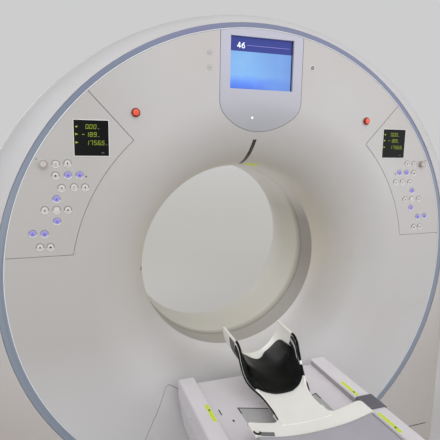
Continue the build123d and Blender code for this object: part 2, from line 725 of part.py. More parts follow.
def detector():
    """Detector bank: an arc about the focal spot, with a recessed sensor face."""
    start = 270 - DETECTOR_HALF_ANGLE
    end = 270 + DETECTOR_HALF_ANGLE
    r_in = FOCUS_TO_DETECTOR
    arc = Pos(0, FOCUS_TO_AXIS) * annular_sector(r_in, r_in + DETECTOR_WALL, start, end)
    body = prism(arc, DETECTOR_FRONT, DRUM_SPAN[0])
    face = Pos(0, FOCUS_TO_AXIS) * annular_sector(r_in - 1, r_in + 8, start + 1, end - 1)
    return body - prism(face, FACE_TO_SCAN - 40, FACE_TO_SCAN + 40)


def hv_generator():
    """High-voltage generator: a curved box on the drum, opposite the balance weight."""
    outer_r = DRUM_OUTER_R - GENERATOR_INSET
    start, end = GENERATOR_ANGLES
    box = prism(annular_sector(GENERATOR_IN_R, outer_r, start, end), GENERATOR_FRONT, DRUM_SPAN[0])
    cover = annular_sector(GENERATOR_IN_R + LID_INSET, outer_r - LID_INSET, start + 2, end - 2)
    lid = prism(cover, GENERATOR_FRONT - LID_WALL, GENERATOR_FRONT)
    return box + lid


def slip_ring():
    """Disc on the hub's rear end with ring tracks in its edge."""
    disc = tube(*SLIP_R, HUB_END, HUB_END + SLIP_LENGTH)
    for index in range(3):
        near = HUB_END + 8 + index * 10
        disc -= tube(SLIP_R[1] - 3, SLIP_R[1] + 1, near, near + 4)
    return disc


def brush_block():
    """Brush holder that reaches from the stator ring's rear face to the slip ring."""
    half = 3.5
    arm = annular_sector(SLIP_R[1] + 100, STATOR_R[1] - 20, BRUSH_ANGLE - half, BRUSH_ANGLE + half)
    head = annular_sector(SLIP_R[1] + FIT, STATOR_R[1] - 20, BRUSH_ANGLE - half, BRUSH_ANGLE + half)
    head_near = HUB_END + 6
    body = prism(arm, STATOR_SPAN[1], head_near)
    return body + prism(head, head_near, head_near + 30)


def motor_point():
    return polar(MOTOR_DISTANCE, MOTOR_ANGLE)


def motor_pulley():
    """Flanged pulley on its shaft, which runs in the motor."""
    x, z = motor_point()
    near, far = PULLEY_SPAN
    wheel = prism(Pos(x, z) * Circle(MOTOR_PULLEY_R), near, far)
    flange = Circle(MOTOR_PULLEY_R + 8)
    rims = prism(Pos(x, z) * flange, near - 4, near) + prism(Pos(x, z) * flange, far, far + 4)
    shaft = prism(Pos(x, z) * Circle(MOTOR_SHAFT_R), near - 4, far + SHAFT_LENGTH)
    return wheel + rims + shaft


def drive_belt():
    """Flat belt round the rotor's rim and the motor pulley."""
    x, z = motor_point()

    def loop(extra):
        big = Circle(PULLEY_R + extra)
        small = Pos(x, z) * Circle(MOTOR_PULLEY_R + extra)
        return make_hull([*big.edges(), *small.edges()])

    band = loop(FIT + BELT_WALL) - loop(FIT)
    return prism(band, PULLEY_SPAN[0] + BELT_INSET, PULLEY_SPAN[1] - BELT_INSET)


def drive_motor():
    """Motor on the pedestal, with a bore that the pulley's shaft turns in."""
    x, z = motor_point()
    near = PULLEY_SPAN[1] + MOTOR_GAP
    body = prism(Pos(x, z) * Circle(MOTOR_R), near, near + MOTOR_LENGTH)
    fins = Circle(MOTOR_R + 6) - Circle(MOTOR_R - 2)
    for index in range(6):
        start = near + 40 + index * 20
        body += prism(Pos(x, z) * fins, start, start + 6)
    foot_low = BASE_WALL + PEDESTAL_RISE - ISO_HEIGHT
    foot_face = rect_between(x - 80, foot_low, x + 80, z - MOTOR_R + 20)
    foot = prism(foot_face, near + 30, near + MOTOR_LENGTH - 20)
    hole = Pos(x, z) * Circle(MOTOR_SHAFT_R + SHAFT_CLEARANCE)
    shaft_bore = prism(hole, near - 1, PULLEY_SPAN[1] + SHAFT_LENGTH + FIT)
    return body + foot - shaft_bore


def base_frame():
    """Floor plate with anchor holes, uprights that cradle the stator ring, and the motor's pedestal."""
    y0, y1 = FRONT + BASE_SPAN[0], FRONT + BASE_SPAN[1]
    plate = block(-BASE_HALF, y0, 0, BASE_HALF, y1, BASE_WALL)
    reach = SHELL_HALF - SKIN - FIT
    middle = (y0 + y1) / 2
    plate += block(-reach, middle - TIE_HALF, 0, reach, middle + TIE_HALF, BASE_WALL / 2)
    for side in (1, -1):
        x0, x1 = side * BASE_WINDOW_X[0], side * BASE_WINDOW_X[1]
        plate -= block(x0, y0 + BASE_BORDER, -1, x1, y1 - BASE_BORDER, BASE_WALL + 1)
    floor = BASE_WALL - ISO_HEIGHT
    low_x, high_x = UPRIGHT_SPAN_X
    foot_x0, foot_x1, top_x0 = low_x - UPRIGHT_FLARE, high_x + UPRIGHT_FLARE / 2, low_x + UPRIGHT_FLARE
    corners = [(foot_x0, floor), (foot_x1, floor), (high_x, UPRIGHT_TOP), (top_x0, UPRIGHT_TOP)]
    side_profile = polygon(corners)
    side_profile -= Circle(STATOR_R[1] + FIT)
    upright = prism(side_profile, *STATOR_SPAN)
    rib = rect_between(high_x - RIB_AT, floor, high_x - RIB_AT + RIB_WALL, UPRIGHT_TOP - RIB_DROP)
    rib -= Circle(DRUM_OUTER_R + DRUM_SWEEP)
    upright += prism(rib, STATOR_SPAN[0] - RIB_REACH, STATOR_SPAN[1] + RIB_REACH)
    frame = plate + both_sides(upright)
    x, z = motor_point()
    near = PULLEY_SPAN[1] + MOTOR_GAP
    pedestal = rect_between(x - PEDESTAL_HALF, floor, x + PEDESTAL_HALF, floor + PEDESTAL_RISE)
    frame += prism(pedestal, near + 15, near + MOTOR_LENGTH)
    for x_side in (-0.5, 0.5):
        for y_side in (-0.5, 0.5):
            place = Pos(x_side * ANCHOR_SPACING[0], middle + y_side * ANCHOR_SPACING[1], 0)
            frame -= place * Cylinder(ANCHOR_R, 3 * BASE_WALL)
    return frame


def stage_heights():
    """Bottoms above the floor, at the modelled height, of the middle and top lift stages."""
    middle = COUCH_BASE_WALL + NEST_GAP + LIFT_DOWN / 2
    top = COUCH_BASE_WALL + 2 * NEST_GAP + BRIDGE_WALL + LIFT_DOWN
    return middle, top


def belly_height():
    """Underside of the couch body above the floor at the modelled height."""
    return ISO_HEIGHT + COUCH_BELLY


def rounded_box_skin(inset, low, high):
    """Upright four-sided skin with rounded corners about the lift axis."""
    half_x, half_y = COVER_HALF[0] - inset, COVER_HALF[1] - inset
    outer = RectangleRounded(2 * half_x, 2 * half_y, COVER_CORNER_R - inset / 2)
    corner_r = COVER_CORNER_R - inset / 2 - COVER_WALL
    inner = RectangleRounded(2 * (half_x - COVER_WALL), 2 * (half_y - COVER_WALL), corner_r)
    return extrude(Pos(0, LIFT_Y, low) * (outer - inner), amount=high - low)


def column_tubes(stage, low, high):
    """Two square column tubes; stage 0 is the innermost."""
    half = COLUMN_HALF + stage * (COLUMN_WALL + COLUMN_GAP)
    inner = half - COLUMN_WALL
    ring = Rectangle(2 * half, 2 * half) - Rectangle(2 * inner, 2 * inner)
    tubes = [extrude(Pos(0, LIFT_Y + side * COLUMN_Y, low) * ring, amount=high - low) for side in (-1, 1)]
    return tubes[0] + tubes[1]


def couch_base():
    """Floor plate of the couch with anchor holes."""
    half_x, half_y = COVER_HALF
    outline = RectangleRounded(2 * half_x, 2 * half_y, COVER_CORNER_R)
    plate = extrude(Pos(0, LIFT_Y, 0) * outline, amount=COUCH_BASE_WALL)
    for x_side in (-0.5, 0.5):
        for y_side in (-0.5, 0.5):
            place = Pos(x_side * COUCH_ANCHOR_SPACING[0], LIFT_Y + y_side * COUCH_ANCHOR_SPACING[1], 0)
            plate -= place * Cylinder(COUCH_ANCHOR_R, 3 * COUCH_BASE_WALL)
    return plate


def base_cover():
    return rounded_box_skin(0, COUCH_BASE_WALL, belly_height() - LIFT_DOWN - 3 * NEST_GAP)


def base_column():
    return column_tubes(0, COUCH_BASE_WALL, ISO_HEIGHT + FRAME_BOTTOM - LIFT_DOWN - NEST_GAP)


def middle_column():
    low = stage_heights()[0] + BRIDGE_WALL
    high = ISO_HEIGHT + FRAME_BOTTOM - LIFT_DOWN / 2 - NEST_GAP
    return column_tubes(1, low, high)


def middle_cover():
    """Middle skin of the lift, with the floor that ties it to the middle columns."""
    low = stage_heights()[0]
    skin = rounded_box_skin(COVER_STEP, low, belly_height() - LIFT_DOWN / 2 - 3 * NEST_GAP)
    half_x, half_y = COVER_HALF[0] - COVER_STEP - 1, COVER_HALF[1] - COVER_STEP - 1
    floor = RectangleRounded(2 * half_x, 2 * half_y, COVER_CORNER_R - COVER_STEP / 2)
    bridge = extrude(Pos(0, LIFT_Y, low) * floor, amount=BRIDGE_WALL)
    clear = COLUMN_HALF + COLUMN_GAP
    for side in (-1, 1):
        y = LIFT_Y + side * COLUMN_Y
        bridge -= block(-clear, y - clear, low - 1, clear, y + clear, low + BRIDGE_WALL + 1)
    return skin + bridge


def top_column():
    return column_tubes(2, stage_heights()[1], ISO_HEIGHT + FRAME_BOTTOM)


def upper_skirt():
    return rounded_box_skin(2 * COVER_STEP, stage_heights()[1], belly_height())


def couch_profile():
    """Front view of the couch body: two rails, a bed between them, sides that lean in below."""
    right = [
        (RAIL_IN, BED_TOP),
        (RAIL_IN, RAIL_TOP),
        (RAIL_OUT, RAIL_TOP),
        (RAIL_OUT, COUCH_SHOULDER),
        (RAIL_OUT - COUCH_LEAN, COUCH_KNEE),
        (RAIL_OUT - COUCH_TUCK, COUCH_BELLY),
    ]
    left = [(-x, z) for x, z in reversed(right)]
    face = polygon(right + left)
    rail_tops = [v for v in face.vertices() if abs(v.Y - RAIL_TOP) < 1]
    face = fillet(rail_tops, RAIL_EDGE_R)
    lower = [v for v in face.vertices() if v.Y < COUCH_SHOULDER + 1]
    return fillet(lower, COUCH_CORNER_R)


def couch_shell():
    """Moulded couch body with its rails, the carriage well and the lift's opening."""
    profile = couch_profile()
    wall = profile - offset(profile, amount=-COUCH_WALL)
    body = extrude(face_plane(-COUCH_GAP - COUCH_LENGTH) * wall, amount=-COUCH_LENGTH)
    well_y0 = COUCH_BACK + WELL_END_MARGIN
    well_y1 = roller_axis()[0] + ROLLER_R + ROLLER_CLEARANCE
    bed = ISO_HEIGHT + BED_TOP
    body -= block(-WELL_HALF, well_y0, bed - COUCH_WALL - 1, WELL_HALF, well_y1, bed + 1)
    body -= block(-WELL_HALF, well_y1 - 1, bed - WELL_SEAT, WELL_HALF, FRONT - WELL_START, bed + 1)
    margin = 2 * COVER_STEP + COVER_WALL
    half_x, half_y = COVER_HALF[0] - margin, COVER_HALF[1] - margin
    hole = RectangleRounded(2 * half_x, 2 * half_y, COVER_CORNER_R - COVER_STEP - COVER_WALL)
    body -= extrude(Pos(0, LIFT_Y, belly_height() - 1) * hole, amount=COUCH_WALL + 2)
    grip_y = FRONT - GRIP_START - GRIP_LENGTH / 2
    grip = Plane(origin=(-RAIL_OUT, grip_y, ISO_HEIGHT + GRIP_MIDDLE), x_dir=(0, 1, 0), z_dir=(-1, 0, 0))
    slot = SlotOverall(GRIP_LENGTH, GRIP_HEIGHT) - SlotOverall(GRIP_LENGTH - 6, GRIP_HEIGHT - 6)
    groove = extrude(grip * slot, amount=-GRIP_DEPTH)
    return body - groove - mirrored(groove)


def couch_end_caps():
    """Flat ends of the couch body, set in its section."""
    profile = offset(couch_profile(), amount=-COUCH_WALL - FIT)
    front = extrude(face_plane(-COUCH_GAP) * profile, amount=COUCH_WALL)
    back = extrude(face_plane(-COUCH_GAP - COUCH_LENGTH) * profile, amount=-COUCH_WALL)
    return front + back


def support_frame():
    """Box beam under the sliding top, with the front roller's ears and ledges for the couch body."""
    y0, y1 = COUCH_BACK + 12, COUCH_FRONT - 12
    top, low = ISO_HEIGHT + DECK_TOP, ISO_HEIGHT + FRAME_BOTTOM
    beam = block(-FRAME_HALF, y0, low, FRAME_HALF, y1, top)
    half = FRAME_HALF - FRAME_WALL
    hollow = block(-half, y0 - 1, low + FRAME_WALL, half, y1 + 1, top - FRAME_WALL)
    beam -= hollow
    roof = ISO_HEIGHT + BED_TOP - COUCH_WALL - FIT
    for side in (1, -1):
        beam += block(side * (FRAME_HALF - 12), y0, top, side * FRAME_HALF, y1, roof)
    y, z = roller_axis()
    for side in (1, -1):
        inner = side * (ROLLER_HALF + 2)
        ear = block(inner, y - 14, top, inner + side * 8, y + 14, z + ROLLER_AXLE_R + 4)
        axle_hole = Pos(inner + side * 4, y, z) * Rot(0, 90, 0) * Cylinder(ROLLER_AXLE_R + 0.05, 30)
        beam += ear - axle_hole
    return beam


def drive_span():
    """Ends of the slide's rails and drive along the deck."""
    return COUCH_BACK + WELL_END_MARGIN + 10, roller_axis()[0] - ROLLER_R - 4 * ROLLER_CLEARANCE


def slide_rails():
    """Guide rails on the deck that the carriage runs on."""
    y0, y1 = drive_span()
    low = ISO_HEIGHT + DECK_TOP
    half = SLIDE_RAIL_WIDTH / 2
    rail = block(SLIDE_RAIL_X - half, y0, low, SLIDE_RAIL_X + half, y1, low + SLIDE_RAIL_HEIGHT)
    return both_sides(rail)


def slide_drive():
    """Closed belt drive along the deck with its motor at the back."""
    y0, y1 = drive_span()
    low = ISO_HEIGHT + DECK_TOP
    bar = block(-DRIVE_HALF, y0, low, DRIVE_HALF, y1, low + DRIVE_HEIGHT)
    motor = block(-DRIVE_HALF - 20, y0 - 60, low, DRIVE_HALF + 20, y0, low + DRIVE_HEIGHT + 4)
    return bar + motor


def rail_clamp():
    """Accessory clamp that wraps over the right-hand rail."""
    y1, y0 = FRONT - CLAMP_SPAN[0], FRONT - CLAMP_SPAN[1]
    low = RAIL_TOP - 24
    outline = rect_between(RAIL_IN - CLAMP_WALL, low, RAIL_OUT + CLAMP_WALL, RAIL_TOP + CLAMP_WALL)
    outline = fillet([v for v in outline.vertices() if v.Y > RAIL_TOP], RAIL_EDGE_R)
    rail = rect_between(RAIL_IN - FIT, low - 1, RAIL_OUT + FIT, RAIL_TOP + FIT)
    rail = fillet([v for v in rail.vertices() if v.Y > RAIL_TOP], RAIL_EDGE_R - 1)
    clamp = outline - rail
    return prism(clamp, -CLAMP_SPAN[1], -CLAMP_SPAN[0])


def roller_axis():
    """Depth line and height of the roller's axle."""
    y = FRONT - TOP_START - ROLLER_BEHIND_END
    z = ISO_HEIGHT - TOP_UNDER_R - FIT - ROLLER_R
    return y, z


def front_roller():
    """Roller that carries the sliding top's front end."""
    y, z = roller_axis()
    drum = Pos(0, y, z) * Rot(0, 90, 0) * Cylinder(ROLLER_R, 2 * ROLLER_HALF)
    axle = Pos(0, y, z) * Rot(0, 90, 0) * Cylinder(ROLLER_AXLE_R, 2 * ROLLER_HALF + 20)
    return drum + axle


def cradle_arc(half, edge, middle):
    """Shallow arc through two edge points and a lower middle."""
    return ThreePointArc((-half, edge), (0, middle), (half, edge))


def under_arc(half):
    """Underside of the sliding top: part of a circle about the bore axis."""
    edge = -sqrt(TOP_UNDER_R**2 - half**2)
    return ThreePointArc((-half, edge), (0, -TOP_UNDER_R), (half, edge))


def closed_section(upper, lower):
    return make_face([upper, lower, Line(upper @ 0, lower @ 0), Line(upper @ 1, lower @ 1)])


def tabletop():
    """Crescent-section sliding top."""
    section = closed_section(cradle_arc(TOP_HALF, TOP_EDGE, TOP_MIDDLE), under_arc(TOP_HALF))
    return prism(section, -TOP_START - TOP_LENGTH, -TOP_START)


def carriage():
    """Block under the top's rear end, with runners astride the guide rails."""
    back = FRONT - TOP_START - TOP_LENGTH + CARRIAGE_BACK_MARGIN
    front = back + CARRIAGE_LENGTH
    rail_top = ISO_HEIGHT + DECK_TOP + SLIDE_RAIL_HEIGHT
    deck = ISO_HEIGHT + DECK_TOP
    plate = block(-CARRIAGE_HALF, back, rail_top + 2, CARRIAGE_HALF, front, ISO_HEIGHT + TOP_MIDDLE + 20)
    half = RUNNER_WIDTH / 2
    slot = SLIDE_RAIL_WIDTH / 2 + FIT
    for side in (1, -1):
        x = side * SLIDE_RAIL_X
        runner = block(x - half, back, deck + 1, x + half, front, rail_top + 2)
        plate += runner - block(x - slot, back - 1, deck, x + slot, front + 1, rail_top + FIT)
    middle = Pos(0, (back + front) / 2, ISO_HEIGHT)
    seat = middle * Rot(90, 0, 0) * Cylinder(TOP_UNDER_R + FIT, 2 * CARRIAGE_LENGTH)
    return plate - seat


def cradle_height(x):
    """Height of the sliding top's upper surface at a distance from its middle line."""
    rise = TOP_EDGE - TOP_MIDDLE
    bend_r = (TOP_HALF**2 + rise**2) / (2 * rise)
    return TOP_MIDDLE + bend_r - sqrt(bend_r**2 - x**2)


def mattress():
    """Thin mat along the top, behind the head holder's plate."""
    half = TOP_HALF - MAT_INSET
    edge = cradle_height(half)
    low = cradle_arc(half, edge + FIT, TOP_MIDDLE + FIT)
    high = cradle_arc(half, edge + MAT_WALL / 2, TOP_MIDDLE + MAT_WALL)
    back = -TOP_START - TOP_LENGTH + MAT_INSET
    return prism(closed_section(high, low), back, -TOP_START - PLATE_LENGTH - FIT)


def crescent(half, edge, bottom, wall):
    """Closed section between two nested half ellipses that share their top level."""
    outer = ellipse_arc((0, edge), half, edge - bottom, 180, 180)
    inner = ellipse_arc((0, edge), half - wall, edge - bottom - wall, 180, 180)
    return make_face([outer, inner, Line(outer @ 0, inner @ 0), Line(outer @ 1, inner @ 1)])


def knot_slope(index, column):
    """Slope of a holder curve at a row of the table, level at its ends and where it turns."""
    rows = HOLDER_SECTIONS
    if index in (0, len(rows) - 1):
        return 0.0
    before = (rows[index][column] - rows[index - 1][column]) / (rows[index][0] - rows[index - 1][0])
    after = (rows[index + 1][column] - rows[index][column]) / (rows[index + 1][0] - rows[index][0])
    if before * after <= 0:
        return 0.0
    return 2 * before * after / (before + after)


def section_at(depth):
    """Holder's section at a depth, from curves through the table that never overshoot it."""
    rows = HOLDER_SECTIONS
    index = max(i for i in range(len(rows) - 1) if rows[i][0] <= depth)
    span = rows[index + 1][0] - rows[index][0]
    t = (depth - rows[index][0]) / span
    values = [depth]
    for column in (1, 2, 3):
        start, end = rows[index][column], rows[index + 1][column]
        start_slope = knot_slope(index, column) * span
        end_slope = knot_slope(index + 1, column) * span
        blend = t**2 * (3 - 2 * t)
        bend = (t**3 - 2 * t**2 + t) * start_slope + (t**3 - t**2) * end_slope
        values.append(start + (end - start) * blend + bend)
    return values


def holder_stations():
    """Closely spaced sections along the whole holder."""
    start, end = HOLDER_SECTIONS[0][0], HOLDER_SECTIONS[-1][0]
    count = round((end - start) / HOLDER_STEP)
    return [section_at(start + (end - start) * index / count) for index in range(count + 1)]


def holder_loft(stations, inset, wall):
    """Shell through the holder's sections, moved in from its outer surface by an inset."""
    sections = []
    for depth, half, edge, bottom in stations:
        sections.append(face_plane(depth) * crescent(half - inset, edge, bottom + inset, wall))
    return loft(sections, ruled=True)


def head_holder():
    """One-piece shell: a plate on the top's front end, a neck, and a trough for the head."""
    trough = holder_loft(holder_stations(), 0, HOLDER_WALL)
    low = cradle_arc(TOP_HALF, TOP_EDGE + FIT, TOP_MIDDLE + FIT)
    high = cradle_arc(TOP_HALF, TOP_EDGE + PLATE_WALL, TOP_MIDDLE + PLATE_WALL)
    start = -TOP_START - PLATE_LENGTH
    end = -TOP_START + PLATE_LIP
    plate = prism(closed_section(high, low), start, end + 2 * NECK_CORNER_R)
    neck_half = HOLDER_SECTIONS[0][1]
    outline = [
        (neck_half, end + 2 * NECK_CORNER_R),
        (neck_half, end),
        (TOP_HALF, end),
        (TOP_HALF, start),
    ]
    plan = polygon(outline + [(-x, depth) for x, depth in reversed(outline)])
    roots = [v for v in plan.vertices() if abs(abs(v.X) - neck_half) < 1 and v.Y < end + 1]
    plan = fillet(roots, NECK_CORNER_R)
    tips = [v for v in plan.vertices() if abs(v.X) > TOP_HALF - 1 and v.Y > start + 1]
    plan = fillet(tips, PLATE_CORNER_R)
    trim = extrude(Pos(0, FRONT, ISO_HEIGHT + TOP_MIDDLE - 10) * plan, amount=TOP_EDGE - TOP_MIDDLE + 40)
    return trough + (plate & trim)


def head_cushion():
    """Soft lining of the trough."""
    stations = holder_stations()
    deep = [station for station in stations if station[0] > CUSHION_SPAN[0] - HOLDER_STEP]
    lining = holder_loft(deep, HOLDER_WALL + CUSHION_GAP, CUSHION_WALL)
    reach = 2 * HOLDER_SECTIONS[-1][1]
    low = HOLDER_SECTIONS[0][3] - HOLDER_WALL
    start, end = CUSHION_SPAN
    lining &= block(-reach, FRONT + start, ISO_HEIGHT + low, reach, FRONT + end, ISO_HEIGHT)
    start, end, low, high = STRAP_BOX
    beside = [s for s in stations if start - HOLDER_STEP < s[0] < end + HOLDER_STEP]
    pads = holder_loft(beside, -CUSHION_GAP - STRAP_WALL, STRAP_WALL)
    pads &= block(-reach, FRONT + start, ISO_HEIGHT + low, reach, FRONT + end, ISO_HEIGHT + high)
    return lining + pads


def write(name, shape):
    """Write one named piece."""
    shape.label = name
    export_step(shape, os.path.join(PARTS, name + ".step"))


def main():
    os.makedirs(PARTS, exist_ok=True)
    skin = housing()
    panel = control_panel()
    stop = stop_button()
    dial = knob()
    write("front_cover", front_cover())
    write("lower_cover", lower_cover())
    write("laser_windows", laser_windows())
    write("accent_ring", accent_ring())
    write("outer_shell", outer_shell(skin))
    write("plinth", plinth(skin))
    write("rear_cover", rear_cover())
    write("scan_window", scan_window())
    write("display_bezel", display_bezel())
    write("display_screen", display_screen())
    write("control_panel_right", panel)
    write("control_panel_left", mirrored(panel))
    write("readouts", readouts())
    write("stop_collars", stop_collars())
    write("stop_button_right", stop)
    write("stop_button_left", mirrored(stop))
    write("knob_right", dial)
    write("knob_left", mirrored(dial))
    for name, place in PAD_KEYS.items():
        cap = key(place)
        write("key_" + name + "_right", cap)
        write("key_" + name + "_left", mirrored(cap))
    write("base_frame", base_frame())
    write("stator_ring", stator_ring())
    radii = race_radii()
    write("bearing_inner", race(radii[0], radii[1]))
    write("bearing_outer", race(radii[2], radii[3]))
    write("bearing_balls", bearing_balls())
    write("rotor_drum", rotor_drum())
    write("xray_tube", xray_tube())
    write("collimator", collimator())
    write("detector", detector())
    write("hv_generator", hv_generator())
    write("slip_ring", slip_ring())
    write("brush_block", brush_block())
    write("drive_motor", drive_motor())
    write("motor_pulley", motor_pulley())
    write("drive_belt", drive_belt())
    write("couch_base", couch_base())
    write("base_cover", base_cover())
    write("base_column", base_column())
    write("middle_column", middle_column())
    write("middle_cover", middle_cover())
    write("top_column", top_column())
    write("upper_skirt", upper_skirt())
    write("support_frame", support_frame())
    write("couch_shell", couch_shell())
    write("couch_end_caps", couch_end_caps())
    write("slide_rails", slide_rails())
    write("slide_drive", slide_drive())
    write("rail_clamp", rail_clamp())
    write("front_roller", front_roller())
    write("tabletop", tabletop())
    write("carriage", carriage())
    write("mattress", mattress())
    write("head_holder", head_holder())
    write("head_cushion", head_cushion())


main()
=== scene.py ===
"""Visual model of a ring-shaped CT scanner and its sliding couch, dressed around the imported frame.

Places on the front of the gantry are given as the makers' drawing gives them: x to the right of the
bore axis, z above it, and depth behind the flat front face, all in millimetres.
"""

import json
import logging
import math
from dataclasses import dataclass
from enum import Enum

import bmesh
import bpy
import numpy as np
from mathutils import Matrix


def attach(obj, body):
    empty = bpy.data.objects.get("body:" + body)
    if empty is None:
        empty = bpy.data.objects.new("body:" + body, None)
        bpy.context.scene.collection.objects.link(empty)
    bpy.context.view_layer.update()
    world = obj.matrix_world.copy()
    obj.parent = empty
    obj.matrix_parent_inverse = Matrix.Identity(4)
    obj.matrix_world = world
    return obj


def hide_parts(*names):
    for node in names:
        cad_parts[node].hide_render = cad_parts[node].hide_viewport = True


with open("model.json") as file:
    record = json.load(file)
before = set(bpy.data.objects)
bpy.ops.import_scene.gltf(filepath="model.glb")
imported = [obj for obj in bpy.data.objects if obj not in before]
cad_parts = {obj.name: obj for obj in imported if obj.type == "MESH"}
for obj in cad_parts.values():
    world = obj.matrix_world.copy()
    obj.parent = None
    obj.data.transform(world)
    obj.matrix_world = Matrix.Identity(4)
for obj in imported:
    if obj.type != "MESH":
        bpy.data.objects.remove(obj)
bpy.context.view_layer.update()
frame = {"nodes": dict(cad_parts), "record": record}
LOG = logging.getLogger("ct_scanner")

Pair = tuple[float, float]
Box = tuple[float, float, float, float]
Colour = tuple[int, int, int]
Profile = tuple[Pair, ...]
Socket = bpy.types.NodeSocket

MM = 0.001
ISO_HEIGHT = 940.0  # bore axis above the floor
FACE_Y = -310.0  # flat front face, along the bore from the scan plane
BLEND_R = 640.0  # where the face begins to curve into the bore
BORE_R = 390.0
THROAT_DEPTH = 259.0  # where the funnel ends
DISC_R = 867.0
PROUD = 0.4  # how far thin strips stand out
INK = 0.3  # how far printed strokes stand out
WELD = 1e-6  # points nearer than this, in metres, become one
DRIFT_SPAN = (0.3, 0.7)  # part of slow noise that turns a colour from one end to the other
LINE_DRAW = (0.03, 1.0, 1.0)  # how far ground lines are drawn out along each axis
RUB_RADIUS = 0.004  # reach of a worn edge, in metres


class Grain(Enum):
    """Surface textures that a finish can carry."""

    PEEL = "sprayed paint with a faint orange peel"
    MATT = "fine spark-eroded moulding texture"
    GLASS = "polished, no texture"
    CAST = "rough casting"
    BRUSHED = "lines from grinding or turning"
    VINYL = "soft coated fabric with a hide grain"
    RUBBER = "matt rubber with faint speckle"


@dataclass(frozen=True)
class PaintedLight:
    """Painted light and shade: a second colour that a finish turns to along one axis, between two places in
    metres.

    An axis written between bars counts the same way on both sides. Where a gate is given, it names
    another axis along which the change itself fades in.
    """

    axis: str
    start: float
    stop: float
    colour: Colour
    gate: tuple[str, float, float] | None = None


@dataclass(frozen=True)
class Finish:
    """One finish: a colour as it looks, and how its surface scatters light."""

    name: str
    colour: Colour
    grain: Grain = Grain.PEEL
    roughness: float = 0.4
    metal: float = 0.0
    coat: float = 0.0
    mottle: float = 0.04
    rub: float = 0.0
    glow: float = 0.0
    dust: float = 0.1
    specular: float = 0.5
    tint: Colour | None = None
    # Painted light and shade: colours that the finish turns to along axes.
    painted_light: tuple[PaintedLight, ...] = ()


# Painted light and shade: the covers that stand still are painted paler where the room's light is strong and
# darker where it is weak.
SHELL_PAINTED_LIGHT = (PaintedLight("|X|", 0.3, 0.95, (184, 177, 171), gate=("Z", 1.35, 0.45)),)
REAR_PAINTED_LIGHT = (
    PaintedLight("Y", 0.52, 0.3, (205, 202, 192)),
    PaintedLight("Y", 0.5, 0.3, (250, 247, 243), gate=("Z", 1.12, 1.27)),
    PaintedLight("Y", 0.1, 0.06, (160, 156, 146), gate=("Z", 1.2, 1.08)),
)
DISC_PAINTED_LIGHT = (
    PaintedLight("X", -0.35, -0.6, (187, 184, 182)),
    PaintedLight("Z", 0.75, 0.4, (206, 205, 206)),
    PaintedLight("Y", -0.29, -0.1, (214, 208, 194), gate=("Z", 0.7, 0.96)),
    PaintedLight("Y", -0.16, -0.08, (244, 240, 232), gate=("Z", 1.18, 1.3)),
    PaintedLight("Y", -0.22, -0.1, (220, 218, 218), gate=("Z", 0.76, 0.62)),
)
WINDOW_PAINTED_LIGHT = (
    PaintedLight("Z", 1.08, 1.25, (242, 238, 230)),
    PaintedLight("X", 0.2, 0.34, (150, 145, 138), gate=("Z", 1.05, 0.92)),
)

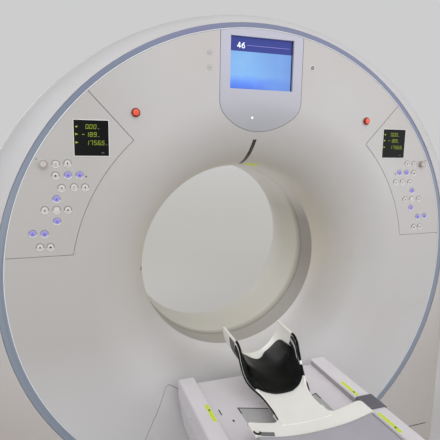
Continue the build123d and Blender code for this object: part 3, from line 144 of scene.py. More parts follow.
FINISHES = [
    # Painted light and shade on the shell, rear shell, disc and window come from the tables above.
    Finish("shell_white", (208, 207, 209), Grain.PEEL, 0.52, tint=(202, 200, 201), rub=0.1, specular=0.3,
           painted_light=SHELL_PAINTED_LIGHT),
    Finish("rear_shell", (208, 207, 209), Grain.PEEL, 0.52, tint=(202, 200, 201), rub=0.1, specular=0.3,
           painted_light=REAR_PAINTED_LIGHT),
    Finish("disc_grey", (197, 196, 196), Grain.PEEL, 0.44, coat=0.08, tint=(196, 191, 189), rub=0.15,
           painted_light=DISC_PAINTED_LIGHT),
    # Bezel: painted light, paler and lilac towards its top.
    Finish("bezel_grey", (182, 183, 189), Grain.PEEL, 0.36, coat=0.15, mottle=0.02, rub=0.1,
           painted_light=(PaintedLight("Z", 1.5, 1.66, (191, 190, 206)),)),
    # Plinth: painted shade, darker towards both sides, as on the shell.
    Finish("plinth_grey", (204, 202, 202), Grain.PEEL, 0.52, tint=(198, 195, 194), rub=0.2, specular=0.3,
           painted_light=(PaintedLight("|X|", 0.3, 0.95, (184, 177, 171)),)),
    # Coloured ring: painted light, paler below than at its top.
    Finish("band_blue", (116, 130, 148), Grain.PEEL, 0.36, coat=0.15, tint=(122, 123, 160),
           painted_light=(PaintedLight("Z", 1.6, 1.2, (136, 146, 162)),)),
    Finish("window_grey", (170, 166, 158), Grain.MATT, 0.5, mottle=0.05, painted_light=WINDOW_PAINTED_LIGHT),
    Finish("screen_glass", (16, 20, 30), Grain.GLASS, 0.12, coat=0.3, dust=0.02, specular=0.3),
    Finish("readout_glass", (13, 15, 14), Grain.GLASS, 0.22, dust=0.01, specular=0.12),
    Finish("laser_glass", (52, 54, 46), Grain.GLASS, 0.25, coat=0.3),
    Finish("collar_white", (222, 220, 214), Grain.MATT, 0.4),
    Finish("stop_red", (138, 26, 22), Grain.MATT, 0.34, coat=0.3),
    # The faint glow on the stop's face is painted light; the button is no lamp.
    Finish("stop_orange", (240, 84, 52), Grain.MATT, 0.34, coat=0.2, glow=0.05),
    Finish("knob_grey", (182, 171, 168), Grain.MATT, 0.42, mottle=0.05),
    # Painted light: the knob's domed face, paler than its sides.
    Finish("knob_pale", (206, 198, 195), Grain.MATT, 0.4),
    Finish("key_grey", (206, 201, 198), Grain.MATT, 0.4),
    Finish("key_pale", (220, 218, 217), Grain.MATT, 0.38),
    # Painted shade on the upper arc round unlit keys; the knob's pointer has this colour too.
    Finish("key_rim", (150, 144, 141), Grain.MATT, 0.42),
    # Painted highlight on the lower arc round each key.
    Finish("key_highlight", (246, 245, 246), Grain.MATT, 0.4),
    Finish("frame_paint", (92, 97, 104), Grain.PEEL, 0.5, mottle=0.08, rub=0.5),
    Finish("ring_paint", (134, 138, 142), Grain.PEEL, 0.45, mottle=0.06, rub=0.5),
    Finish("bearing_steel", (176, 178, 182), Grain.BRUSHED, 0.28, metal=1.0),
    Finish("ball_steel", (206, 208, 212), Grain.GLASS, 0.08, metal=1.0),
    Finish("drum_metal", (172, 175, 180), Grain.CAST, 0.42, metal=0.9, mottle=0.06),
    Finish("tube_metal", (182, 182, 178), Grain.CAST, 0.4, metal=0.9, mottle=0.05),
    Finish("box_paint", (104, 109, 118), Grain.PEEL, 0.45, mottle=0.05, rub=0.4),
    Finish("detector_metal", (84, 87, 92), Grain.BRUSHED, 0.38, metal=0.8),
    Finish("generator_metal", (150, 153, 158), Grain.BRUSHED, 0.36, metal=0.9),
    Finish("ring_plastic", (70, 62, 54), Grain.MATT, 0.45),
    Finish("brush_plastic", (50, 50, 54), Grain.MATT, 0.5),
    Finish("motor_paint", (70, 76, 84), Grain.CAST, 0.5, mottle=0.06, rub=0.5),
    Finish("belt_rubber", (30, 30, 30), Grain.RUBBER, 0.75),
    Finish("pulley_steel", (170, 172, 174), Grain.BRUSHED, 0.3, metal=1.0),
    Finish("column_metal", (178, 180, 183), Grain.BRUSHED, 0.33, metal=1.0),
    Finish("couch_frame", (158, 160, 163), Grain.CAST, 0.45, metal=0.8),
    Finish("couch_lilac", (232, 228, 233), Grain.PEEL, 0.36, coat=0.2, mottle=0.02, rub=0.15),
    Finish("cap_lilac", (208, 205, 210), Grain.MATT, 0.48, mottle=0.03, rub=0.15),
    Finish("well_grey", (193, 192, 194), Grain.MATT, 0.46, mottle=0.04),
    Finish("rail_steel", (176, 178, 182), Grain.BRUSHED, 0.26, metal=1.0),
    Finish("drive_metal", (112, 115, 120), Grain.BRUSHED, 0.4, metal=0.8),
    Finish("clamp_dark", (102, 100, 110), Grain.MATT, 0.5, mottle=0.05),
    Finish("rail_shade", (172, 166, 172), Grain.PEEL, 0.45, mottle=0.03),
    Finish("roller_plastic", (84, 84, 88), Grain.MATT, 0.45),
    Finish("cradle_grey", (172, 171, 178), Grain.PEEL, 0.42, mottle=0.03),
    Finish("mat_grey", (180, 178, 186), Grain.VINYL, 0.5, mottle=0.04),
    Finish("holder_white", (250, 249, 243), Grain.PEEL, 0.32, coat=0.2, mottle=0.01),
    Finish("cushion_black", (5, 7, 7), Grain.VINYL, 0.3, mottle=0.1, dust=0.002, specular=0.16),
    Finish("trim_black", (22, 21, 24), Grain.RUBBER, 0.5, dust=0.02, specular=0.3),
    # The faint glow on the lime tapes is painted light; they are no lamps.
    Finish("tape_lime", (208, 232, 30), Grain.GLASS, 0.45, mottle=0.03, glow=0.1),
    Finish("mark_grey", (128, 124, 128), Grain.GLASS, 0.5),
    Finish("mark_dark", (74, 70, 72), Grain.GLASS, 0.5),
    Finish("mark_white", (236, 236, 236), Grain.GLASS, 0.5),
    Finish("mark_violet", (92, 78, 190), Grain.GLASS, 0.5, glow=0.3),
    # Painted shade in the gaps between covers.
    Finish("gap_dark", (60, 54, 54), Grain.MATT, 0.7, dust=0.0),
    Finish("mark_faint", (146, 142, 144), Grain.GLASS, 0.5),
    Finish("mark_lilac", (136, 130, 204), Grain.GLASS, 0.5, glow=0.3),
    Finish("pad_grey", (112, 114, 116), Grain.VINYL, 0.7, mottle=0.1),
    Finish("digit_lime", (138, 158, 28), Grain.GLASS, 0.5, glow=0.42),
    Finish("glow_violet", (148, 142, 222), Grain.GLASS, 0.4, glow=0.14),
    # Violet halo of painted light on the upper arc round lit keys.
    Finish("halo_violet", (138, 132, 186), Grain.GLASS, 0.4),
    Finish("lamp_white", (240, 244, 250), Grain.GLASS, 0.4, glow=0.5),
    Finish("band_indigo", (40, 52, 128), Grain.GLASS, 0.3, glow=0.4, specular=0.3),
    # White of the ring lamp's rim, and of the painted highlight bead round the disc.
    Finish("trim_white", (236, 238, 240), Grain.GLASS, 0.25, coat=0.3),
]


def linear(colour: Colour) -> Box:
    """Change a colour as it looks, 0 to 255, into the renderer's linear values.

    Args:
        colour: red, green and blue as they look on a screen.

    Returns:
        Linear red, green, blue and an alpha of one.
    """
    level = np.array(colour) / 255.0
    low = level / 12.92
    high = ((level + 0.055) / 1.055) ** 2.4
    return (*np.where(level <= 0.04045, low, high).tolist(), 1.0)


class Graph:
    """Adds and links the nodes of one node tree."""

    def __init__(self, tree: bpy.types.NodeTree) -> None:
        """Keep the tree that nodes are added to."""
        self.tree = tree

    def add(self, kind: str, inputs: dict | None = None, **settings: object) -> bpy.types.Node:
        """Add a node.

        Args:
            kind: the node's type name.
            inputs: socket name or number to a value or to another node's output.
            settings: properties of the node itself.

        Returns:
            The new node.
        """
        node = self.tree.nodes.new(kind)
        for name, value in settings.items():
            setattr(node, name, value)
        for name, value in (inputs or {}).items():
            self.feed(node.inputs[name], value)
        return node

    def feed(self, socket: Socket, value: object) -> None:
        """Link an output to a socket, or set the socket's own value.

        Args:
            socket: the socket that is fed.
            value: another node's output, or a plain value.
        """
        if isinstance(value, bpy.types.NodeSocket):
            self.tree.links.new(value, socket)
        else:
            socket.default_value = value

    def math(self, operation: str, *values: object) -> Socket:
        """Add a math node.

        Args:
            operation: what it works out.
            values: what it works on, each a number or another node's output.

        Returns:
            Its result.
        """
        node = self.add("ShaderNodeMath", operation=operation)
        for socket, value in zip(node.inputs, values):
            self.feed(socket, value)
        return node.outputs[0]

    def spread(self, value: object, low: float, high: float, to_low: float = 0.0,
               to_high: float = 1.0) -> Socket:
        """Map a value from one range to another, clamped.

        Args:
            value: what is mapped.
            low: where its range starts.
            high: where its range ends.
            to_low: what the start becomes.
            to_high: what the end becomes.

        Returns:
            The mapped value.
        """
        ranges = {"Value": value, "From Min": low, "From Max": high, "To Min": to_low, "To Max": to_high}
        return self.add("ShaderNodeMapRange", ranges).outputs["Result"]

    def blend(self, share: object, first: object, second: object) -> Socket:
        """Mix two colours: the first where the share is nothing, the second where it is one."""
        return self.add("ShaderNodeMix", {"Factor": share, 6: first, 7: second}, data_type="RGBA").outputs[2]

    def place(self) -> Socket:
        """Place on the piece, in metres."""
        return self.add("ShaderNodeTexCoord").outputs["Object"]

    def noise(self, place: Socket, scale: object, detail: float = 2.0) -> Socket:
        """Soft noise about a half, whose grains get smaller as the scale grows."""
        wanted = {"Vector": place, "Scale": scale, "Detail": detail}
        return self.add("ShaderNodeTexNoise", wanted).outputs["Fac"]


class Effect(Graph):
    """One shader group that several materials share, with float inputs and outputs."""

    def __init__(self, name: str, inputs: dict[str, float], outputs: tuple[str, ...]) -> None:
        """Open the group.

        Args:
            name: the group's name.
            inputs: each input's name and value.
            outputs: the outputs' names.
        """
        super().__init__(bpy.data.node_groups.new(name, "ShaderNodeTree"))
        for label, value in inputs.items():
            socket = self.tree.interface.new_socket(label, in_out="INPUT", socket_type="NodeSocketFloat")
            socket.default_value = value
        for label in outputs:
            self.tree.interface.new_socket(label, in_out="OUTPUT", socket_type="NodeSocketFloat")
        self.given = self.add("NodeGroupInput").outputs
        self.out = self.add("NodeGroupOutput").inputs

    def send_texture(self, height: Socket, slow: Socket) -> bpy.types.NodeTree:
        """Send out a texture.

        Args:
            height: the fine relief.
            slow: the slow noise behind the drift of its colour.

        Returns:
            The finished group.
        """
        self.feed(self.out["Height"], height)
        self.feed(self.out["Drift"], self.spread(slow, *DRIFT_SPAN))
        return self.tree

    def send_mask(self, first: Socket, second: Socket) -> bpy.types.NodeTree:
        """Send out the product of two masks and the group's amount.

        Args:
            first: where the effect can be.
            second: what breaks it up.

        Returns:
            The finished group.
        """
        both = self.math("MULTIPLY", first, second)
        self.feed(self.out["Mask"], self.math("MULTIPLY", both, self.given["Amount"]))
        return self.tree


def fine_grain() -> bpy.types.NodeTree:
    """Fine speckle for height and a slow drift for colour."""
    effect = Effect("fine grain", {"Scale": 900.0, "Drift Scale": 3.0}, ("Height", "Drift"))
    place = effect.place()
    slow = effect.noise(place, effect.given["Drift Scale"], 4.0)
    return effect.send_texture(effect.noise(place, effect.given["Scale"]), slow)


def ground_lines() -> bpy.types.NodeTree:
    """Long fine streaks, as left by a grinding belt: noise drawn out along X."""
    effect = Effect("ground lines", {"Scale": 600.0}, ("Height", "Drift"))
    drawn = effect.add("ShaderNodeMapping", {"Vector": effect.place(), "Scale": LINE_DRAW}).outputs[0]
    return effect.send_texture(effect.noise(drawn, effect.given["Scale"]), effect.noise(drawn, 18.0, 3.0))


def hide_grain() -> bpy.types.NodeTree:
    """Small cells with creases between them, over slow wrinkles."""
    effect = Effect("hide grain", {"Scale": 420.0}, ("Height", "Drift"))
    place = effect.place()
    cells = effect.add("ShaderNodeTexVoronoi", {"Vector": place, "Scale": effect.given["Scale"]})
    cells.feature = "SMOOTH_F1"
    wrinkles = effect.math("MULTIPLY", effect.noise(place, 16.0, 3.0), 1.6)
    height = effect.math("ADD", cells.outputs["Distance"], wrinkles)
    return effect.send_texture(height, effect.noise(place, 5.0, 3.0))


def edge_rub() -> bpy.types.NodeTree:
    """Mask of worn outer edges, broken up by noise.

    An edge is where the normal of a rounded copy of the surface leaves the surface's own.
    """
    effect = Effect("edge rub", {"Amount": 0.3}, ("Mask",))
    soft = effect.add("ShaderNodeBevel", {"Radius": RUB_RADIUS}, samples=4).outputs[0]
    flat = effect.add("ShaderNodeNewGeometry").outputs["Normal"]
    turn = effect.add("ShaderNodeVectorMath", {0: soft, 1: flat}, operation="DOT_PRODUCT")
    edge = effect.spread(turn.outputs["Value"], 0.97, 0.75)
    return effect.send_mask(edge, effect.spread(effect.noise(effect.place(), 45.0, 4.0), 0.42, 0.62))


def settled_dust() -> bpy.types.NodeTree:
    """Mask of faint dust on surfaces that face up."""
    effect = Effect("settled dust", {"Amount": 0.2}, ("Mask",))
    normal = effect.add("ShaderNodeNewGeometry").outputs["Normal"]
    level = effect.spread(effect.add("ShaderNodeSeparateXYZ", {0: normal}).outputs["Z"], 0.6, 1.0)
    return effect.send_mask(level, effect.spread(effect.noise(effect.place(), 9.0, 6.0), 0.4, 0.75))


def new_material(name: str) -> tuple[bpy.types.Material, Graph, bpy.types.Node]:
    """Start a material.

    Args:
        name: the material's name.

    Returns:
        The material, its graph and its shader.
    """
    material = bpy.data.materials.new(name)
    material.use_nodes = True
    return material, Graph(material.node_tree), material.node_tree.nodes["Principled BSDF"]


def set_plain(shader: bpy.types.Node, values: dict[str, object]) -> None:
    """Set values that are the same all over a surface on the shader's own sockets."""
    for name, value in values.items():
        shader.inputs[name].default_value = value


class Workshop:
    """Makes each finish's material once and hands it out."""

    bump_mm = {Grain.PEEL: 0.05, Grain.MATT: 0.06, Grain.CAST: 0.22, Grain.BRUSHED: 0.03,
               Grain.VINYL: 0.25, Grain.RUBBER: 0.06, Grain.GLASS: 0.0}
    scales = {Grain.PEEL: 260.0, Grain.MATT: 900.0, Grain.CAST: 380.0, Grain.BRUSHED: 700.0,
              Grain.VINYL: 620.0, Grain.RUBBER: 700.0, Grain.GLASS: 500.0}
    mottle_depth = 3.0
    worn_pale = (0.55, 0.42)  # share of the colour that stays where it is rubbed, and white added to it
    dust_colour = (186, 184, 178)
    roughness_drift = (-0.05, 0.07)
    coat_roughness = 0.12
    picture_span = (666.0, 792.0)
    picture_stops = ((0.0, (66, 112, 226)), (0.14, (82, 136, 244)), (0.26, (102, 156, 248)),
                     (0.38, (122, 180, 240)), (1.0, (118, 172, 230)))
    # Pale clouds of painted glare, a reflection on the screen's glass: its colour, then its spread.
    picture_glare = (150, 204, 246)
    picture_glare_spread = (0.45, 0.75, 0.0, 0.35)  # noise from and to, share of the veil from and to
    picture_side = (88, 134, 212)
    picture_side_spread = (-0.04, 0.12, 0.0, 0.8)  # place from and to in metres, share from and to
    picture_glass = (20, 30, 60)
    picture_glow = 0.95

    def __init__(self) -> None:
        """Build the shared effects and every material."""
        fine = fine_grain()
        self.textures = {grain: fine for grain in Grain}
        self.textures.update({Grain.BRUSHED: ground_lines(), Grain.VINYL: hide_grain()})
        self.rub = edge_rub()
        self.dust = settled_dust()
        self.materials = {finish.name: self.make(finish) for finish in FINISHES}
        self.materials["screen_picture"] = self.make_picture()

    def along_axis(self, graph: Graph, axis: str, start: float, stop: float) -> Socket:
        """Mask that grows from nothing to one along an axis.

        Args:
            graph: where its nodes go.
            axis: the axis's letter, between bars where both sides count alike.
            start: where the mask is nothing, in metres.
            stop: where it is one.

        Returns:
            The mask.
        """
        place = graph.add("ShaderNodeSeparateXYZ", {0: graph.place()}).outputs[axis.strip("|")]
        if axis.startswith("|"):
            place = graph.math("ABSOLUTE", place)
        return graph.spread(place, start, stop)

    def base_colour(self, graph: Graph, finish: Finish, drift: Socket) -> Socket:
        """Colour of a finish with its mottle, its painted light and shade, its rubbed edges and its dust.

        Args:
            graph: where its nodes go.
            finish: the finish.
            drift: slow noise from nought to one.

        Returns:
            The colour.
        """
        clean = linear(finish.colour)
        shade = tuple(channel * (1.0 - self.mottle_depth * finish.mottle) for channel in clean[:3]) + (1.0,)
        result = graph.blend(drift, clean, linear(finish.tint) if finish.tint else shade)
        for fall in finish.painted_light:
            share = self.along_axis(graph, fall.axis, fall.start, fall.stop)
            if fall.gate:
                share = graph.math("MULTIPLY", share, self.along_axis(graph, *fall.gate))
            result = graph.blend(share, result, linear(fall.colour))
        if finish.rub > 0:
            rub = graph.add("ShaderNodeGroup", {"Amount": finish.rub}, node_tree=self.rub)
            kept, added = self.worn_pale
            pale = tuple(min(1.0, channel * kept + added) for channel in clean[:3]) + (1.0,)
            result = graph.blend(rub.outputs["Mask"], result, pale)
        if finish.metal < 0.5 and finish.glow == 0:
            dust = graph.add("ShaderNodeGroup", {"Amount": finish.dust}, node_tree=self.dust)
            result = graph.blend(dust.outputs["Mask"], result, linear(self.dust_colour))
        return result

    def make(self, finish: Finish) -> bpy.types.Material:
        """Build a finish's material.

        Args:
            finish: the finish.

        Returns:
            A material whose colour, roughness and bump vary over the surface.
        """
        material, graph, shader = new_material(finish.name)
        texture = graph.add("ShaderNodeGroup", node_tree=self.textures[finish.grain])
        texture.inputs["Scale"].default_value = self.scales[finish.grain]
        drift = texture.outputs["Drift"]
        graph.feed(shader.inputs["Base Color"], self.base_colour(graph, finish, drift))
        low, high = (finish.roughness + change for change in self.roughness_drift)
        graph.feed(shader.inputs["Roughness"], graph.spread(drift, 0.0, 1.0, low, high))
        set_plain(shader, {"Metallic": finish.metal, "Specular IOR Level": finish.specular,
                           "Coat Weight": finish.coat, "Coat Roughness": self.coat_roughness})
        relief = self.bump_mm[finish.grain] * MM
        if relief > 0:
            bump = {"Height": texture.outputs["Height"], "Distance": relief, "Strength": 1.0}
            graph.feed(shader.inputs["Normal"], graph.add("ShaderNodeBump", bump).outputs[0])
        if finish.glow > 0:
            set_plain(shader, {"Emission Color": linear(finish.colour), "Emission Strength": finish.glow})
        return material

    def make_picture(self) -> bpy.types.Material:
        """Lit screen picture: a pale blue field that deepens below and towards its right side, under pale
        clouds of painted glare.

        Returns:
            The material.
        """
        material, graph, shader = new_material("screen_picture")
        place = graph.place()
        axes = graph.add("ShaderNodeSeparateXYZ", {0: place})
        low, high = ((ISO_HEIGHT + level) * MM for level in self.picture_span)
        ramp = graph.add("ShaderNodeValToRGB", {"Fac": graph.spread(axes.outputs["Z"], low, high)})
        elements = ramp.color_ramp.elements
        while len(elements) < len(self.picture_stops):
            elements.new(0.5)
        for element, (position, colour) in zip(elements, self.picture_stops):
            element.position = position
            element.color = linear(colour)
        glare = graph.spread(graph.noise(place, 12.0, 3.0), *self.picture_glare_spread)
        clouded = graph.blend(glare, ramp.outputs["Color"], linear(self.picture_glare))
        side = graph.spread(axes.outputs["X"], *self.picture_side_spread)
        graph.feed(shader.inputs["Emission Color"], graph.blend(side, clouded, linear(self.picture_side)))
        set_plain(shader, {"Base Color": linear(self.picture_glass), "Roughness": 0.2,
                           "Emission Strength": self.picture_glow})
        return material


def on_face(x: np.ndarray, depth: np.ndarray, z: np.ndarray) -> np.ndarray:
    """Points of the part's frame, in millimetres, for places on the gantry's front."""
    x, depth, z = np.broadcast_arrays(np.asarray(x, float), depth, z)
    return np.stack([x, FACE_Y + depth, ISO_HEIGHT + z], axis=-1)


def skin_depth(radius: np.ndarray) -> np.ndarray:
    """Depth of the dished cover: flat outside BLEND_R, then a quarter ellipse into the bore."""
    inward = np.clip((BLEND_R - np.asarray(radius, float)) / (BLEND_R - BORE_R), 0.0, 1.0)
    return THROAT_DEPTH * (1.0 - np.sqrt(1.0 - inward**2))


def circle(x: float, z: float, radius: float, count: int = 32, start: float = 0.0,
           turn: float = 360.0) -> np.ndarray:
    """Outline of a circle, or of an arc of it, about a place on the front.

    Args:
        x: its middle, to the right of the bore axis.
        z: its middle, above it.
        radius: its radius.
        count: how many points it has.
        start: the angle of its first point, in degrees.
        turn: how far it runs from there, in degrees.

    Returns:
        The outline's points.
    """
    closed = abs(turn) >= 360.0
    angle = np.radians(start + np.linspace(0.0, turn, count, endpoint=not closed))
    return np.stack([x + radius * np.cos(angle), z + radius * np.sin(angle)], axis=-1)


def rectangle(x0: float, z0: float, x1: float, z1: float) -> np.ndarray:
    """Outline of a rectangle on the front."""
    return np.array([(x0, z0), (x1, z0), (x1, z1), (x0, z1)])


def between(outer: np.ndarray, inner: np.ndarray) -> np.ndarray:
    """Four-cornered outlines that fill the band between two loops of as many points."""
    return np.stack([outer, np.roll(outer, -1, 0), np.roll(inner, -1, 0), inner], axis=1)


def rim_fall(reach: np.ndarray, width: float, power: float) -> np.ndarray:
    """Share of a pad's thickness at a distance from its rim: a superellipse over a given width."""
    return (1.0 - np.clip(1.0 - reach / width, 0, 1) ** power) ** (1 / power)


def thin_pad(rows: int, columns: int, thick: float, steps: float, least: float) -> np.ndarray:
    """Thickness of a thin pad over a grid of points.

    It grows as the square root of the number of steps from the nearest edge of the grid, and is full
    after a few steps.

    Args:
        rows: how many rows the grid has.
        columns: how many columns.
        thick: the full thickness.
        steps: how many steps from an edge it is reached.
        least: the share of those steps that counts at the edge itself.

    Returns:
        The thickness at each point.
    """
    row, column = np.arange(rows)[:, None], np.arange(columns)[None, :]
    edge = np.minimum(np.minimum(row, row[::-1]), np.minimum(column, column[:, ::-1]))
    return thick * np.clip(edge / steps, least, 1.0) ** 0.5


def smooth_through(knots: np.ndarray, values: np.ndarray, at: np.ndarray) -> np.ndarray:
    """Value of a smooth curve through given points, which never overshoots them.

    Each span is a cubic. Its slope at an inner knot is the harmonic mean of the two spans' slopes, or
    level where these differ in sign, and it is level at both ends.

    Args:
        knots: rising positions.
        values: the value at each.
        at: where the curve is read.

    Returns:
        The values there.
    """
    knots, values = np.asarray(knots, float), np.asarray(values, float)
    rise = np.diff(values) / np.diff(knots)
    product = rise[:-1] * rise[1:]
    total = np.where(product > 0, rise[:-1] + rise[1:], 1.0)
    slope = np.zeros(len(values))
    slope[1:-1] = np.where(product > 0, 2 * product / total, 0.0)
    at = np.clip(np.asarray(at, float), knots[0], knots[-1])
    index = np.clip(np.searchsorted(knots, at) - 1, 0, len(knots) - 2)
    span = knots[index + 1] - knots[index]
    t = (at - knots[index]) / span
    start = (2 * t**3 - 3 * t**2 + 1) * values[index] + (t**3 - 2 * t**2 + t) * span * slope[index]
    stop = (-2 * t**3 + 3 * t**2) * values[index + 1] + (t**3 - t**2) * span * slope[index + 1]
    return start + stop


class Sculpt:
    """Gathers surfaces worked out as arrays and turns them into one mesh."""

    def __init__(self) -> None:
        """Start with nothing."""
        self.points: list[np.ndarray] = []
        self.faces: list[list[int]] = []
        self.count = 0

    def grid(self, points: np.ndarray, wrap: bool = False, capped: bool = False) -> None:
        """Add a surface given as rows of points, in millimetres in the part's frame.

        Args:
            points: an array of rows by columns by three.
            wrap: join each row's last point to its first.
            capped: close the first and last row with a face each.
        """
        rows, columns = points.shape[:2]
        index = self.count + np.arange(rows * columns).reshape(rows, columns)
        looped = np.hstack([index, index[:, :1]]) if wrap else index
        quads = np.stack([looped[:-1, :-1], looped[:-1, 1:], looped[1:, 1:], looped[1:, :-1]], axis=-1)
        self.faces += quads.reshape(-1, 4).tolist()
        if capped:
            self.faces += [index[0, ::-1].tolist(), index[-1].tolist()]
        self.points.append(points.reshape(-1, 3))
        self.count += rows * columns

    def slab(self, outline: np.ndarray, near: float, far: float) -> None:
        """Add a plate: a front-view outline carried from one depth to another."""
        ring = np.array(outline, float)
        self.grid(on_face(ring[:, 0], [[near], [far]], ring[:, 1]), wrap=True, capped=True)

    def stamp(self, outline: np.ndarray, near: float) -> None:
        """Print a mark on a face at a given depth."""
        self.slab(outline, near - INK, near)

    def pad(self, upper: np.ndarray, lower: np.ndarray) -> None:
        """Add a closed pad between two surfaces of as many points."""
        self.grid(np.concatenate([upper, lower[:, ::-1]], axis=1), wrap=True, capped=True)

    def turned(self, at: Pair, profile: Profile, radius: float = 0.0, depth: float = 0.0, count: int = 40,
               capped: bool = False) -> None:
        """Add a profile turned about an axis that stands square to the front.

        Each step of the profile is a circle of points: its radius times the cosine and sine of the
        angle, at its depth.

        Args:
            at: the axis, to the right of the bore axis and above it.
            profile: radius and depth of each circle, counted from the two values below.
            radius: what the radii are counted from.
            depth: what the depths are counted from.
            count: how many points a circle has.
            capped: close both ends.
        """
        turn = np.linspace(0.0, 2 * np.pi, count, endpoint=False)
        reach, level = (np.array(values)[:, None] for values in zip(*profile))
        reach = radius + reach
        rows = on_face(at[0] + reach * np.cos(turn), depth + level, at[1] + reach * np.sin(turn))
        self.grid(rows, wrap=True, capped=capped)

    def rod(self, path: np.ndarray, radius: float, sides: int = 10, closed: bool = False) -> None:
        """Add a round bead along a path.

        A ring of points stands square to the path at each of its points: the path's direction comes
        from its neighbours, and two vectors across it carry the ring's cosine and sine. Both are
        worked out from the axis that the path runs along least, so that the rings never twist.

        Args:
            path: points of the middle line.
            radius: the bead's radius.
            sides: how many points a ring has.
            closed: whether the path runs back to its start.
        """
        path = np.array(path, float)
        if closed:
            ahead = np.roll(path, -1, 0) - np.roll(path, 1, 0)
        else:
            ahead = np.gradient(path, axis=0)
        ahead /= np.linalg.norm(ahead, axis=1, keepdims=True)
        across = np.cross(ahead, np.eye(3)[np.abs(ahead).max(axis=0).argmin()])
        across /= np.linalg.norm(across, axis=1, keepdims=True)
        over = np.cross(across, ahead)
        turn = np.linspace(0, 2 * np.pi, sides, endpoint=False)
        ring = across[:, None] * np.cos(turn)[None, :, None] + over[:, None] * np.sin(turn)[None, :, None]
        rows = path[:, None] + radius * ring
        if closed:
            rows = np.concatenate([rows, rows[:1]])
        self.grid(rows, wrap=True, capped=not closed)

    def make(self, name: str, smooth: float, bevel: float) -> bpy.types.Object:
        """Turn what was added into an object at the origin.

        Args:
            name: the piece's name.
            smooth: edges flatter than this many degrees are shaded smooth.
            bevel: width of rounding on the sharp edges, in millimetres.

        Returns:
            The new object.
        """
        mesh = bpy.data.meshes.new(name)
        mesh.from_pydata((np.concatenate(self.points) * MM).tolist(), [], self.faces)
        work = bmesh.new()
        work.from_mesh(mesh)
        bmesh.ops.remove_doubles(work, verts=work.verts, dist=WELD)
        bmesh.ops.recalc_face_normals(work, faces=work.faces)
        work.to_mesh(mesh)
        work.free()
        mesh.shade_smooth()
        mesh.set_sharp_from_angle(angle=math.radians(smooth))
        piece = bpy.data.objects.new(name, mesh)
        bpy.context.scene.collection.objects.link(piece)
        if bevel > 0:
            rounding = piece.modifiers.new("rounding", "BEVEL")
            rounding.width = bevel * MM
            rounding.segments = 2
            rounding.limit_method = "ANGLE"
        return piece


@dataclass
class Dresser:
    """Shared work of the sub-assemblies: finishing and mounting each new piece."""

    shop: Workshop
    body: str = "gantry"

    def add(self, name: str, sculpt: Sculpt, finish: str, slot: str, body: str | None = None,
            smooth: float = 35.0, bevel: float = 0.0) -> bpy.types.Object:
        """Make a piece, and give it its material and its body.

        Args:
            name: the piece's name.
            sculpt: its surfaces.
            finish: the material's name.
            slot: the record's slot; not used.
            body: the CAD body that it moves with; the sub-assembly's own where none is given.
            smooth: edges flatter than this many degrees are shaded smooth.
            bevel: width of rounding on its sharp edges, in millimetres.

        Returns:
            The new object.
        """
        body = body or self.body
        piece = sculpt.make(name, smooth, bevel)
        piece.data.materials.append(self.shop.materials[finish])
        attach(piece, body)
        LOG.info("%s on %s", name, body)
        return piece


class CadFinishes(Dresser):
    """Gives every CAD node the full material of its record slot."""

    own_finish = {"display_bezel": "bezel_grey", "rear_cover": "rear_shell"}

    def build(self) -> None:
        """Dress each node in the material that the record's slot names, or in one of its own."""
        for entry in frame["record"]["subparts"]:
            node = frame["nodes"][entry["node"]]
            node.data.materials.clear()
            finish = self.own_finish.get(entry["node"], entry["material_slot"])
            node.data.materials.append(self.shop.materials[finish])
        LOG.info("dressed %d nodes", len(frame["nodes"]))


class Glyph(Enum):
    """Signs that are printed on the keys."""

    UP = "arrow up"
    DOWN = "arrow down"
    LEFT = "arrow left"
    BAR = "level bar"
    HOME = "house"
    LOOP = "ring"
    NONE = "bare"


def glyph_outlines(glyph: Glyph) -> list[np.ndarray]:
    """Outlines of a sign about its own middle, for a sign about ten millimetres high.

    Args:
        glyph: the sign.

    Returns:
        One outline for each of its separate marks.
    """
    arrow = np.array([(0.0, 4.6), (4.2, 0.2), (1.5, 0.2), (1.5, -4.2), (-1.5, -4.2), (-1.5, 0.2),
                      (-4.2, 0.2)])
    house = np.array([(-4.0, -3.6), (4.0, -3.6), (4.0, 0.4), (0.0, 4.2), (-4.0, 0.4)])
    outer, inner = (circle(0, 0, radius, 24, 30, 300) for radius in (4.2, 2.7))
    shapes = {
        Glyph.UP: [arrow],
        Glyph.DOWN: [arrow * (1, -1)],
        Glyph.LEFT: [arrow[:, ::-1] * (-1, 1)],
        Glyph.BAR: [rectangle(-4.2, -3.4, 4.2, -1.6), rectangle(-2.6, -0.8, 2.6, 2.8)],
        Glyph.HOME: [house],
        Glyph.LOOP: [np.concatenate([outer, inner[::-1]])],
        Glyph.NONE: [],
    }
    return shapes[glyph]


class KeyPart(Enum):
    """Parts of a key's face."""

    # The ring arc above an unlit key is painted shade, the halo arc above a lit key is painted light from it,
    # and the edge arc below is a painted highlight.
    RING = "ring"
    HALO = "halo"
    EDGE = "edge"
    CAP = "cap"
    LIT = "lit"
    SIGN = "sign"
    SIGN_LIT = "sign_lit"


# Upper arc: painted shade, or a violet halo of painted light on lit keys; lower arc: painted highlight.
KEY_FINISHES = {KeyPart.RING: "key_rim", KeyPart.HALO: "halo_violet", KeyPart.EDGE: "key_highlight",
                KeyPart.CAP: "key_pale", KeyPart.LIT: "glow_violet", KeyPart.SIGN: "mark_dark",
                KeyPart.SIGN_LIT: "mark_violet"}
MOVING_PARTS = (KeyPart.CAP, KeyPart.LIT, KeyPart.SIGN, KeyPart.SIGN_LIT)


@dataclass(frozen=True)
class Key:
    """One key: its place on the right-hand panel, its sign, whether it is lit, and its name if it moves."""

    x: float
    z: float
    sign: Glyph
    lit: bool = False
    name: str = ""


